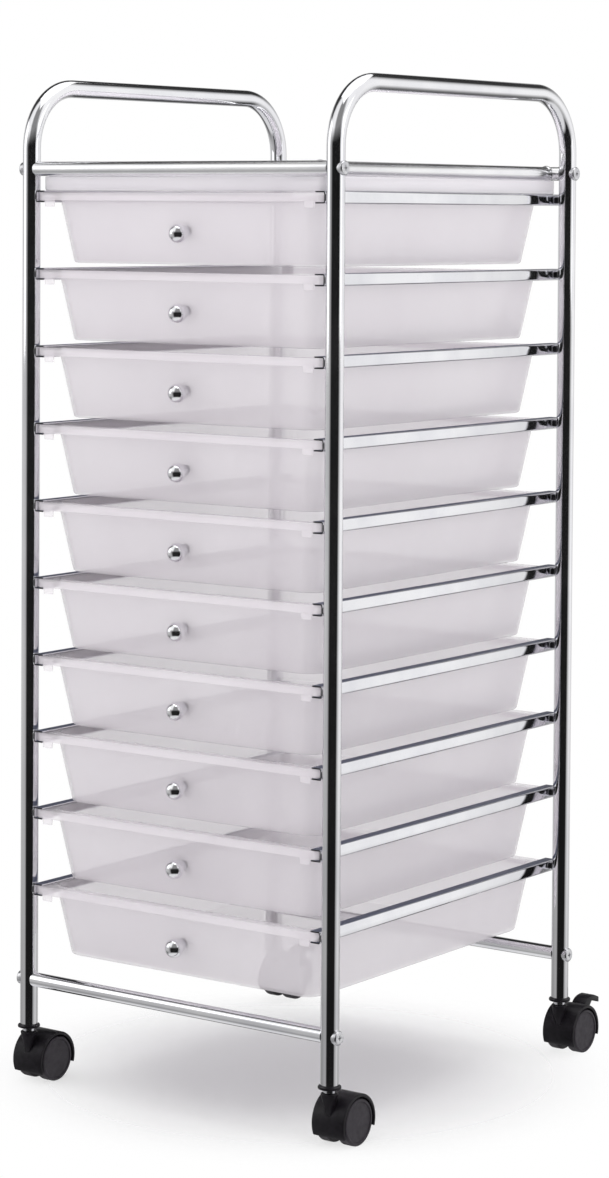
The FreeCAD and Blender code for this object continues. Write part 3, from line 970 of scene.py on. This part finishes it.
@dataclass
class Rails:
    """The ten pairs of sheet rails, each with its back stop and its weld beads."""

    height: float = 0.0105
    width: float = 0.010
    sheet: float = 0.0012
    bend: float = 0.0016
    edge_round: float = 0.00018
    bead_sunk: float = 0.0005
    bead_apart: float = 0.0031
    web_x: float = 0.158
    front_y: float = -0.190
    back_y: float = 0.188
    top_rail: float = 0.7986
    pitch: float = 0.069
    count: int = 10

    def channel(self) -> Piece:
        """Fold one right rail from sheet, open towards the drawers and at the front.

        Returns:
            The rail, at height 0.
        """
        low = Vector((self.web_x - self.width, self.front_y + CART_Y, -self.height / 2))
        high = Vector((self.web_x, self.back_y + CART_Y, self.height / 2))
        bpy.ops.object.select_all(action="DESELECT")
        bpy.ops.mesh.primitive_cube_add(size=1, location=(low + high) / 2)
        piece = start("rail_channel")
        bpy.ops.transform.resize(value=high - low, center_override=(low + high) / 2)
        bpy.ops.object.mode_set(mode="OBJECT")
        bpy.ops.object.transform_apply(location=True, rotation=True, scale=True)
        bpy.ops.object.mode_set(mode="EDIT")
        choose(piece, Pick.FACES, lambda co: co.x < low.x + TOUCH or co.y < low.y + TOUCH)
        bpy.ops.mesh.delete(type="FACE")
        choose(piece, Pick.EDGES,
               lambda co: co.x > high.x - TOUCH and abs(abs(co.z) - self.height / 2) < TOUCH)
        bpy.ops.mesh.bevel(offset=self.bend, segments=4, affect="EDGES")
        close_up(piece)
        thicken(piece, self.sheet)
        soften(piece, self.edge_round, 2, 60)
        smooth(piece, 30)
        return piece

    def bead(self, y: float, way: int) -> Piece:
        """Lay one weld bead in the groove between the web and a post.

        Args:
            y: Where the post stands.
            way: -1 for the groove in front of the post's line, 1 for the one behind.

        Returns:
            The bead.
        """
        outline = [(0.0, -0.0040), (0.0009, -0.0037), (0.0014, -0.0029), (0.0015, -0.0016),
                   (0.00135, -0.0003), (0.00155, 0.0009), (0.00145, 0.0022), (0.0011, 0.0033),
                   (0.0005, 0.0039), (0.0, 0.0040)]
        piece = turned("weld_bead", outline, 10)
        smooth(piece, 60)
        place = Vector((self.web_x + self.bead_sunk, CART_Y + y + way * self.bead_apart, 0))
        return settle(piece, Matrix.Translation(place))

    def build(self) -> None:
        """Make the ten rails of each side and dress them."""
        beads = [self.bead(y, way) for y in (-POST_Y, POST_Y) for way in (-1, 1)]
        one = together([self.channel(), *beads], "rail")
        copies = [another(one, "rail", Vector((0, 0, self.top_rail - self.pitch * row)))
                  for row in range(self.count)]
        bpy.data.objects.remove(one)
        right = together(copies, "right_rail_channels")
        left = mirrored(right, "left_rail_channels")
        finished(right, RAIL_CHROME, "cart_frame", ["right_rails"])
        finished(left, RAIL_CHROME, "cart_frame", ["left_rails"])


@dataclass
class ShelfTray:
    """The shallow tray under the shelf bars."""

    half_wide: float = 0.1565
    half_deep: float = 0.185
    low: float = 0.80385
    high: float = 0.8164
    wall: float = 0.002
    floor: float = 0.0022
    corner: float = 0.010
    foot_round: float = 0.0012
    inner_round: float = 0.001
    edge_round: float = 0.0005

    def ring(self, inset: float, height: float) -> Ring:
        """Give the tray's outline at a height, drawn in by an inset."""
        return Ring(self.half_wide - inset, CART_Y - self.half_deep + inset,
                    CART_Y + self.half_deep - inset, self.corner - inset, self.corner - inset,
                    height)

    def build(self) -> None:
        """Mould the tray and dress it."""
        rings = [self.ring(self.foot_round, self.low), self.ring(0.0, self.low + self.foot_round),
                 self.ring(0.0, self.high), self.ring(self.wall, self.high),
                 self.ring(self.wall, self.low + self.floor + self.inner_round),
                 self.ring(self.wall + self.inner_round, self.low + self.floor)]
        piece = moulded("shelf_tray_moulding", rings, 8)
        soften(piece, self.edge_round, 2, 60)
        smooth(piece, 50)
        finished(piece, TRAY_FROST, "cart_frame", ["shelf_tray"])


# ---------------------------------------------------------------- the drawers


@dataclass
class Drawers:
    """The ten drawers, their knobs and the screws that hold the knobs."""

    count: int = 10
    pitch: float = 0.069
    top_rim: float = 0.80225
    depth: float = 0.0625
    wall: float = 0.002
    floor: float = 0.0022
    draft: float = 0.0104
    corner: float = 0.0165
    bottom_round: float = 0.002
    corner_follow: float = 0.15
    rim_half_x: float = 0.156
    rim_front: float = -0.1905
    rim_back: float = 0.1854
    rim_side_width: float = 0.009
    rim_front_width: float = 0.0095
    rim_back_width: float = 0.012
    rim_thickness: float = 0.002
    lip_height: float = 0.0074
    lip_thickness: float = 0.0018
    front_corner: float = 0.006
    back_corner: float = 0.018
    tab_outer_x: float = 0.1475
    tab_width: float = 0.0115
    tab_drop: float = 0.0052
    tab_taper: float = 0.0006
    tab_inset: float = 0.00002
    edge_round: float = 0.0006
    knob_drop: float = 0.0333
    corner_steps: int = 9

    def rim_ring(self, inset: float, height: float) -> Ring:
        """Give an outline of the rim at a height, drawn in by an inset."""
        return Ring(self.rim_half_x - inset, CART_Y + self.rim_front + inset,
                    CART_Y + self.rim_back - inset, self.front_corner - inset,
                    self.back_corner - inset, height)

    def wall_ring(self, shrink: float, down: float, more: float = 0.0) -> Ring:
        """Give an outline of the wall at a depth.

        Args:
            shrink: How far the outline lies inside the outer face.
            down: Depth below the rim.
            more: How far the round bottom edge draws it in.

        Returns:
            The outline.
        """
        inset = self.draft * down / self.depth + more
        corner = self.corner - shrink - inset * self.corner_follow
        return Ring(self.rim_half_x - self.rim_side_width - inset - shrink,
                    CART_Y + self.rim_front + self.rim_front_width + inset + shrink,
                    CART_Y + self.rim_back - self.rim_back_width - inset - shrink,
                    corner, corner, -down)

    def foot(self, shrink: float, depth: float) -> list[Ring]:
        """Give the outlines of the round bottom edge, from the lowest up.

        Args:
            shrink: How far the outlines lie inside the outer face.
            depth: Depth of the lowest one below the rim.

        Returns:
            The outlines.
        """
        rings = []
        for angle in (90, 60, 30, 0):
            turn = math.radians(angle)
            down = depth - self.bottom_round * (1 - math.sin(turn))
            rings.append(self.wall_ring(shrink, down, self.bottom_round * (1 - math.cos(turn))))
        return rings

    def tub(self) -> Piece:
        """Mould one drawer with the top of its rim at z = 0.

        Returns:
            The drawer.
        """
        under = self.rim_thickness
        rings = self.foot(0.0, self.depth)
        rings += [self.wall_ring(0.0, under), self.rim_ring(self.lip_thickness, -under),
                  self.rim_ring(self.lip_thickness, -self.lip_height),
                  self.rim_ring(0.0, -self.lip_height), self.rim_ring(0.0, 0.0),
                  self.wall_ring(self.wall, 0.0)]
        rings += list(reversed(self.foot(self.wall, self.depth - self.floor)))
        piece = moulded("drawer_tub", rings, self.corner_steps)
        right = self.stop_tab()
        piece = together([piece, mirrored(right, "stop_tab"), right], "drawer_tub")
        soften(piece, self.edge_round, 3, 55)
        smooth(piece, 32)
        return piece

    def stop_tab(self) -> Piece:
        """Make the right one of the two tabs that hang from the front lip, beside the rails.

        Returns:
            The tab.
        """
        low, high = -self.lip_height - self.tab_drop, -self.rim_thickness
        front = CART_Y + self.rim_front + self.tab_inset
        inner = self.tab_outer_x - self.tab_width
        taper = self.tab_taper
        piece = drawn("stop_tab", [
            Vector((inner, front, high)), Vector((inner + taper, front, low)),
            Vector((self.tab_outer_x - taper, front, low)),
            Vector((self.tab_outer_x, front, high))])
        push(0, self.lip_thickness - 2 * self.tab_inset, 0)
        close_up(piece)
        return piece

    def seat(self) -> tuple[Vector, Vector]:
        """Give the place behind the knob on the front, and the way out of that face.

        Returns:
            The place and the way out.
        """
        lean = math.atan2(self.draft, self.depth)
        inset = self.draft * self.knob_drop / self.depth
        place = Vector((0, CART_Y + self.rim_front + self.rim_front_width + inset, -self.knob_drop))
        return place, Vector((0, -math.cos(lean), -math.sin(lean)))

    def knob(self) -> Piece:
        """Turn one ball knob with its cone neck.

        Returns:
            The knob.
        """
        place, way = self.seat()
        outline = [(0.0048, 0.0), (0.0048, 0.0004), (0.00515, 0.0012), (0.00585, 0.0032),
                   (0.0065, 0.0050)]
        outline += arc((0.0, 0.011), 0.0083, -33, 84, 22)
        outline.append((0.0, 0.0193))
        piece = turned("knob", outline, 48)
        smooth(piece, 40)
        return settle(piece, pointing(place, way))

    def knob_screw(self) -> Piece:
        """Make the head of the screw that holds a knob, inside the drawer.

        Returns:
            The head.
        """
        place, way = self.seat()
        lean = math.atan2(self.draft, self.depth)
        radius, height = 0.004, 0.0024
        outline = [(0.0018, -0.0015), (0.0018, 0.0), (radius, 0.0), (radius, height * 0.45)]
        outline += arc((radius - height * 0.5, height * 0.45), height * 0.5, 20, 80, 4)
        outline.append((0.0, height))
        piece = turned("knob_screw", outline, 32)
        carved(piece, FrameScrews(recess_long=0.0036, recess_wide=0.0009,
                                  recess_deep=0.0012).cross(height))
        smooth(piece, 35)
        inside = place - way * self.wall * math.cos(lean)
        return settle(piece, pointing(inside, -way))

    def build(self) -> None:
        """Copy the drawer, its knob and its screw down the ten rows and dress them."""
        kinds = (("drawer", self.tub(), DRAWER_FROST, "drawer_plastic", "tub"),
                 ("knob", self.knob(), KNOB_CHROME, "knob_chrome", "ball"),
                 ("knob_screw", self.knob_screw(), SCREW_STEEL, "screw_steel", "head"))
        for node, one, finish, slot, word in kinds:
            for row in range(self.count):
                shift = Vector((0, 0, self.top_rim - self.pitch * row))
                number = f"{row + 1:02d}"
                piece = another(one, f"{node}_{word}_{number}", shift)
                finished(piece, finish, f"drawer_{number}", [f"{node}_{number}"])
            bpy.data.objects.remove(one)


# ---------------------------------------------------------------- the casters


@dataclass
class Casters:
    """The four twin-wheel casters: socket, stem, hood, wheels and, at the back, a brake lever."""

    wheel_radius: float = 0.020
    trail: float = 0.021
    web_half: float = 0.0045
    half_wide: float = 0.0165
    drum_radius: float = 0.0243
    cavity_radius: float = 0.0213
    boss_top: float = 0.0475
    collar_bottom: float = 0.0511
    tube_bottom: float = 0.0535
    first_angle: float = -18.0
    open_turn: float = 224.0
    axle_hole: float = 0.0032
    wheel_inner: float = 0.0053
    wheel_outer: float = 0.0162
    tread_round: float = 0.0015
    lever_pivot: tuple[float, float] = (0.034011, 0.033011)
    lever_half: float = 0.007
    lever_reach: float = 0.029
    neck_half: float = 0.0029
    tip_round: float = 0.004
    lever_round: float = 0.0006
    hood_round: float = 0.0004
    slot_inner: float = 0.012
    slot_half: float = 0.0032
    slot_from: float = 8.0
    slot_to: float = 82.0

    def socket(self) -> Piece:
        """Turn one socket: the collar below the tube and the start of its sleeve.

        Returns:
            The socket.
        """
        low, high = self.collar_bottom, self.tube_bottom
        outline = [(0.0042, low + 0.0012), (0.0042, low), (0.0092, low), (0.0098, low + 0.0003),
                   (0.010, low + 0.0008), (0.010, high - 0.0006), (0.0097, high - 0.0001),
                   (0.0092, high), (0.00672, high), (0.00672, high + 0.006)]
        piece = turned("caster_socket", outline, 40)
        smooth(piece, 40)
        return piece

    def stem(self) -> Piece:
        """Turn one stem with its shoulder.

        Returns:
            The stem.
        """
        low = self.boss_top
        outline = [(0.004, low - 0.005), (0.004, low), (0.0049, low), (0.0053, low + 0.0004),
                   (0.0053, low + 0.0031), (0.0049, low + 0.0035), (0.004, low + 0.0035),
                   (0.004, low + 0.0105)]
        piece = turned("caster_stem", outline, 36)
        smooth(piece, 40)
        return piece

    def on_axle(self, piece: Piece) -> Piece:
        """Lay a turned piece on the wheel axis, its height along x."""
        axle = Vector((0, self.trail, self.wheel_radius))
        return settle(piece, pointing(axle, Vector((1, 0, 0))))

    def drum(self) -> Piece:
        """Spin the T-shaped section of the hood round the wheel axis.

        Returns:
            The drum.
        """
        angle = math.radians(self.first_angle)
        web, wide = self.web_half, self.half_wide
        inner, outer = self.cavity_radius, self.drum_radius
        hole = self.axle_hole
        corners = [(-web, hole), (web, hole), (web, inner), (wide - 0.0006, inner),
                   (wide, inner + 0.0006), (wide, outer - 0.0011), (wide - 0.0004, outer - 0.0003),
                   (wide - 0.0012, outer)]
        mirror = [(-across, radius) for across, radius in reversed(corners[2:])]
        piece = drawn("hood_drum", [
            Vector((across, self.trail + radius * math.cos(angle),
                    self.wheel_radius + radius * math.sin(angle)))
            for across, radius in corners + mirror])
        bpy.ops.mesh.spin(steps=44, angle=math.radians(-self.open_turn), axis=(1, 0, 0),
                          center=(0, self.trail, self.wheel_radius))
        close_up(piece)
        return piece

    def brake_slot(self) -> Piece:
        """Make the tool that cuts the slot in which the neck of a brake lever swings.

        Returns:
            The tool.
        """
        axle = Vector((-self.slot_half, self.trail, self.wheel_radius))
        outline = arc((0, 0), self.slot_inner, self.slot_from, self.slot_to, 18)
        outline += arc((0, 0), self.drum_radius + 0.004, self.slot_to, self.slot_from, 8)
        tool = drawn("brake_slot", [axle + Vector((0, y, z)) for y, z in outline])
        push(2 * self.slot_half, 0, 0)
        close_up(tool)
        return tool

    def hood(self, braked: bool) -> Piece:
        """Make one hood: the drum and web, the hub round the axle and the boss of the stem.

        Args:
            braked: Whether it has the slot of a brake lever.

        Returns:
            The hood.
        """
        drum = self.drum()
        if braked:
            carved(drum, self.brake_slot())
        web, hole = self.web_half, self.axle_hole
        hub = self.on_axle(turned("hood_hub", [
            (hole, -web - 0.0002), (0.0084, -web - 0.0002), (0.009, -web + 0.0004),
            (0.009, web - 0.0004), (0.0084, web + 0.0002), (hole, web + 0.0002)], 40))
        top = self.boss_top
        boss = turned("hood_boss", [
            (0.0024, top - 0.0192), (0.0030, top - 0.019), (0.0052, top - 0.0100),
            (0.0066, top - 0.0048), (0.0073, top - 0.0022), (0.0075, top - 0.0008),
            (0.0072, top - 0.0002), (0.0066, top)], 40)
        piece = together([drum, hub, boss], "caster_hood")
        soften(piece, self.hood_round, 2, 55)
        smooth(piece, 32)
        return piece

    def wheel_pair(self) -> Piece:
        """Turn one wheel with its dished face and mirror it to the other side of the web.

        Returns:
            The two wheels.
        """
        inner, outer, radius = self.wheel_inner, self.wheel_outer, self.wheel_radius
        tread = self.tread_round
        outline = [(0.003, inner), (radius - tread, inner)]
        outline += arc((radius - tread, inner + tread), tread, -90, 0, 5)[1:]
        outline += arc((radius - tread, outer - tread), tread, 0, 90, 5)
        outline += [(radius - 0.0025, outer), (radius - 0.0029, outer - 0.0003),
                    (radius - 0.0031, outer - 0.0008), (0.006, outer - 0.00075),
                    (0.0, outer - 0.0007)]
        right = self.on_axle(turned("wheel", outline, 64))
        left = mirrored(right, "wheel_left")
        piece = together([right, left], "caster_wheels")
        smooth(piece, 36)
        return piece

    def lever(self) -> Piece:
        """Make one brake lever: hooked pad, neck and cam.

        Returns:
            The lever.
        """
        pivot = Vector((0, *self.lever_pivot))
        half, reach = self.lever_half, self.lever_reach
        points = [(0.0, 0.0085), (0.0024, 0.0106), (0.0052, 0.0123), (0.0086, 0.0134),
                  (0.0132, 0.0140), (0.018, 0.0140), (0.0236, 0.0118), (reach, 0.0095),
                  (reach, 0.0048), (0.0215, 0.0073), (0.014, 0.0096), (0.0095, 0.0045)]
        pad = drawn("brake_lever_pad", [pivot + Vector((-half, y, z)) for y, z in points])
        push(2 * half, 0, 0)
        choose(pad, Pick.EDGES, lambda co: co.y > pivot.y + reach - TOUCH
               and abs(abs(co.x) - half) < TOUCH)
        bpy.ops.mesh.bevel(offset=self.tip_round, segments=6, affect="EDGES")
        close_up(pad)
        neck = drawn("brake_lever_neck", [pivot + Vector((-self.neck_half, y, z)) for y, z in (
            (-0.0045, 0.0), (-0.0016, 0.0088), (0.0082, 0.0088), (0.0045, 0.0),
            (0.0032, -0.0032), (0.0, -0.0045), (-0.0032, -0.0032))])
        push(2 * self.neck_half, 0, 0)
        close_up(neck)
        piece = together([pad, neck], "brake_lever")
        soften(piece, self.lever_round, 3, 40)
        smooth(piece, 34)
        return piece

    def build(self) -> None:
        """Copy the caster parts to the four posts and dress them."""
        sockets = []
        one_socket, one_stem = self.socket(), self.stem()
        hoods = {End.FRONT: self.hood(braked=False), End.BACK: self.hood(braked=True)}
        one_pair, one_lever = self.wheel_pair(), self.lever()
        for end in End:
            for side in Side:
                place, corner = on_post(end, side), f"{word(end)}_{word(side)}"
                caster = f"{corner}_caster"
                sockets.append(another(one_socket, "caster_socket", place))
                kinds = [(one_stem, "stem_pin", STEM_STEEL, caster, "stem_steel", "stem"),
                         (hoods[end], "hood_shell", HOOD_NYLON, caster, "black_plastic", "hood"),
                         (one_pair, "wheel_pair", WHEEL_NYLON, f"{corner}_wheels",
                          "wheel_plastic", "wheels")]
                if end is End.BACK:
                    kinds.append((one_lever, "lever_pad", HOOD_NYLON, f"{corner}_brake_lever",
                                  "black_plastic", "brake_lever"))
                for one, shape, finish, body, slot, node in kinds:
                    finished(another(one, f"{caster}_{shape}", place), finish, body,
                             [f"{caster}_{node}"])
        for one in (one_socket, one_stem, *hoods.values(), one_pair, one_lever):
            bpy.data.objects.remove(one)
        finished(together(sockets, "caster_socket_collars"), HOOD_NYLON, "cart_frame",
                 ["caster_sockets"])


# ---------------------------------------------------------------- what stays of the CAD


def dress_kept_nodes() -> None:
    """Give the nodes that no piece stands for a finish of their own."""
    finishes = {"tube_plugs": HOOD_NYLON}
    for end in End:
        for side in Side:
            finishes[f"{word(end)}_{word(side)}_caster_axle"] = STEM_STEEL
    for name, finish in finishes.items():
        node = frame["nodes"][name]
        node.data.materials.clear()
        node.data.materials.append(finish.material())
        log.info("%s: kept from the model, finish %s", name, finish.name)


# ---------------------------------------------------------------- the studio


@dataclass
class Studio:
    """The pale floor, the soft lamps, the light that surrounds them and the camera."""

    view_yaw: float = 35.864
    view_pitch: float = 2.136
    view_roll: float = 0.376
    camera_place: tuple[float, float, float] = (1.6752, -2.3509, 0.78705)
    lens: float = 96.2
    shift: tuple[float, float] = (0.0046, -0.2212)
    shade_radius: float = 0.10
    floor_radius: float = 0.31
    floor_colour: str = "#E2E2E3"

    def camera(self) -> None:
        """Set the camera where the photograph was taken from."""
        yaw, pitch = math.radians(self.view_yaw), math.radians(self.view_pitch)
        roll = math.radians(self.view_roll)
        level = Vector((-math.sin(yaw), math.cos(yaw), 0))
        ahead = level * math.cos(pitch) - Vector((0, 0, math.sin(pitch)))
        flat_right = Vector((math.cos(yaw), math.sin(yaw), 0))
        flat_up = flat_right.cross(ahead)
        right = flat_right * math.cos(roll) + flat_up * math.sin(roll)
        up = flat_up * math.cos(roll) - flat_right * math.sin(roll)
        turn = Matrix((right, up, -ahead)).transposed().to_4x4()
        lens = bpy.data.cameras.new("studio_camera")
        lens.sensor_width = 36.0
        lens.lens = self.lens
        lens.shift_x, lens.shift_y = self.shift
        lens.clip_end = 30.0
        eye = bpy.data.objects.new("studio_camera", lens)
        eye.matrix_world = Matrix.Translation(self.camera_place) @ turn
        bpy.context.scene.collection.objects.link(eye)
        bpy.context.scene.camera = eye

    def lamps(self) -> None:
        """Hang three soft square lamps: a broad one over the cart and weaker ones at its sides."""
        aim = Vector((0, 0, 0.45))
        for name, place, size, power in (("lamp_over", (0.1, 0.3, 2.6), 2.2, 18),
                                         ("lamp_left", (-2.2, -1.6, 1.3), 1.8, 8),
                                         ("lamp_right", (2.6, 0.4, 1.2), 1.6, 5)):
            light = bpy.data.lights.new(name, "AREA")
            light.shape = "SQUARE"
            light.size = size
            light.energy = power
            holder = bpy.data.objects.new(name, light)
            facing = (aim - Vector(place)).to_track_quat("-Z", "Y").to_matrix().to_4x4()
            holder.matrix_world = Matrix.Translation(place) @ facing
            bpy.context.scene.collection.objects.link(holder)

    def floor(self) -> None:
        """Lay the pale round floor, which fades into the background at its edge."""
        bpy.ops.object.select_all(action="DESELECT")
        bpy.ops.mesh.primitive_circle_add(vertices=96, radius=1.0, fill_type="NGON",
                                          location=(0, 0, 0))
        piece = bpy.context.view_layer.objects.active
        piece.name = "studio_floor"
        made = bpy.data.materials.new("studio_floor")
        made.use_nodes = True
        tree = made.node_tree
        tree.nodes.clear()
        place = add_node(tree, "TexCoord", {})
        away = add_node(tree, "VectorMath", {0: place.outputs["Object"], 1: (0, CART_Y, 0)},
                        operation="DISTANCE")
        faded = add_node(tree, "MapRange", {"Value": away, "From Min": self.shade_radius,
                                            "From Max": self.floor_radius},
                         interpolation_type="SMOOTHSTEP")
        path = add_node(tree, "LightPath", {})
        unseen = add_node(tree, "Math", {0: faded, 1: path.outputs["Is Camera Ray"]},
                          operation="MULTIPLY")
        gone = add_node(tree, "Math", {0: unseen, 1: path.outputs["Is Glossy Ray"]},
                        operation="MAXIMUM")
        matt = add_node(tree, "BsdfDiffuse", {"Color": linear(self.floor_colour)})
        clear = add_node(tree, "BsdfTransparent", {})
        mixed = add_node(tree, "MixShader", {"Fac": gone, 1: matt, 2: clear})
        add_node(tree, "OutputMaterial", {"Surface": mixed})
        piece.data.materials.append(made)

    def band(self, tree: Tree, angle: Node, span: float,
             *stops: tuple[float, float]) -> Node:
        """Add a band of greys over a span of angles, at stops in degrees from its middle.

        Args:
            tree: The node tree.
            angle: The angle, in radians.
            span: The whole span, in degrees.
            stops: Degrees from the middle, each with a grey value.

        Returns:
            The band's grey.
        """
        half = math.radians(span / 2)
        share = add_node(tree, "MapRange", {"Value": angle, "From Min": -half, "From Max": half})
        return add_node(tree, "ValToRGB", {0: share},
                        [(degrees / span + 0.5, grey) for degrees, grey in stops])

    def surround(self) -> None:
        """Light the scene from all round, white where the camera sees it.

        Bright metal sees a studio instead: pale sweeps at the sides and the back, and the dark
        room on the camera's side.
        """
        world = bpy.data.worlds.new("studio_world")
        bpy.context.scene.world = world
        world.use_nodes = True
        tree = world.node_tree
        tree.nodes.clear()
        way = add_node(tree, "TexCoord", {})
        turned_way = add_node(tree, "Mapping",
                              {"Vector": way.outputs["Generated"],
                               "Rotation": (0, 0, -math.radians(self.view_yaw))})
        split = add_node(tree, "SeparateXYZ", {0: turned_way})
        toward = add_node(tree, "Math", {0: split.outputs["Y"], 1: -1.0}, operation="MULTIPLY")
        level = add_node(tree, "Math", {0: split.outputs["X"], 1: toward}, operation="ARCTAN2")
        climb = add_node(tree, "Math", {0: split.outputs["Z"]}, operation="ARCSINE")
        level_band = self.band(tree, level, 360, (-180, 0.62), (-110, 0.56), (-70, 0.5),
                               (-56, 0.3), (-42, 0.01), (50, 0.01), (66, 0.5), (84, 0.9),
                               (108, 0.98), (132, 0.8), (160, 0.66))
        high_band = self.band(tree, level, 360, (-180, 0.02), (-112, 0.04), (-93, 0.9),
                              (-45, 1.0), (-25, 0.25), (32, 0.25), (52, 1.0), (110, 0.95),
                              (130, 0.04), (180, 0.02))
        low_band = self.band(tree, level, 360, (-180, 0.05), (-120, 0.08), (-95, 0.3), (-60, 0.4),
                             (-42, 0.01), (50, 0.01), (66, 0.4), (100, 0.55), (125, 0.08),
                             (180, 0.05))
        seen_by_metal = level_band
        # Above the level, the high band; below it, the low band; then the floor and the ceiling.
        for tone, *stops in ((high_band, (-90, 0.0), (8, 0.0), (27, 1.0), (90, 1.0)),
                             (low_band, (-90, 1.0), (-34, 1.0), (-14, 0.0)),
                             (linear(self.floor_colour), (-90, 1.0), (-52, 1.0), (-40, 0.0)),
                             (linear("#FFFFFF"), (-90, 0.0), (62, 0.0), (78, 1.0))):
            seen_by_metal = add_node(tree, "Mix", {0: self.band(tree, climb, 180, *stops),
                                                   6: seen_by_metal, 7: tone}, data_type="RGBA")
        path = add_node(tree, "LightPath", {})
        seen = add_node(tree, "Math",
                        {0: path.outputs["Is Camera Ray"], 1: path.outputs["Is Transmission Ray"]},
                        operation="MAXIMUM")
        plain, soft, room = (add_node(tree, "Background", {"Color": colour, "Strength": 1.0})
                             for colour in (linear("#FFFFFF"), linear("#FFFEFF"), seen_by_metal))
        gloss = add_node(tree, "MixShader",
                         {"Fac": path.outputs["Is Glossy Ray"], 1: soft, 2: room})
        shown = add_node(tree, "MixShader", {"Fac": seen, 1: gloss, 2: plain})
        add_node(tree, "OutputWorld", {"Surface": shown})

    def build(self) -> None:
        """Set up the whole studio."""
        self.floor()
        self.lamps()
        self.surround()
        self.camera()
        bpy.context.scene.view_settings.view_transform = "Standard"


def main() -> None:
    """Build the cart and its studio, sub-assembly by sub-assembly."""
    logging.basicConfig(level=logging.INFO, format="%(message)s")
    for assembly in (TubeFrame(), FrameScrews(), Rails(), ShelfTray(), Drawers(), Casters()):
        log.info("building %s", type(assembly).__name__)
        assembly.build()
    dress_kept_nodes()
    Studio().build()


if __name__ == "__main__":
    main()
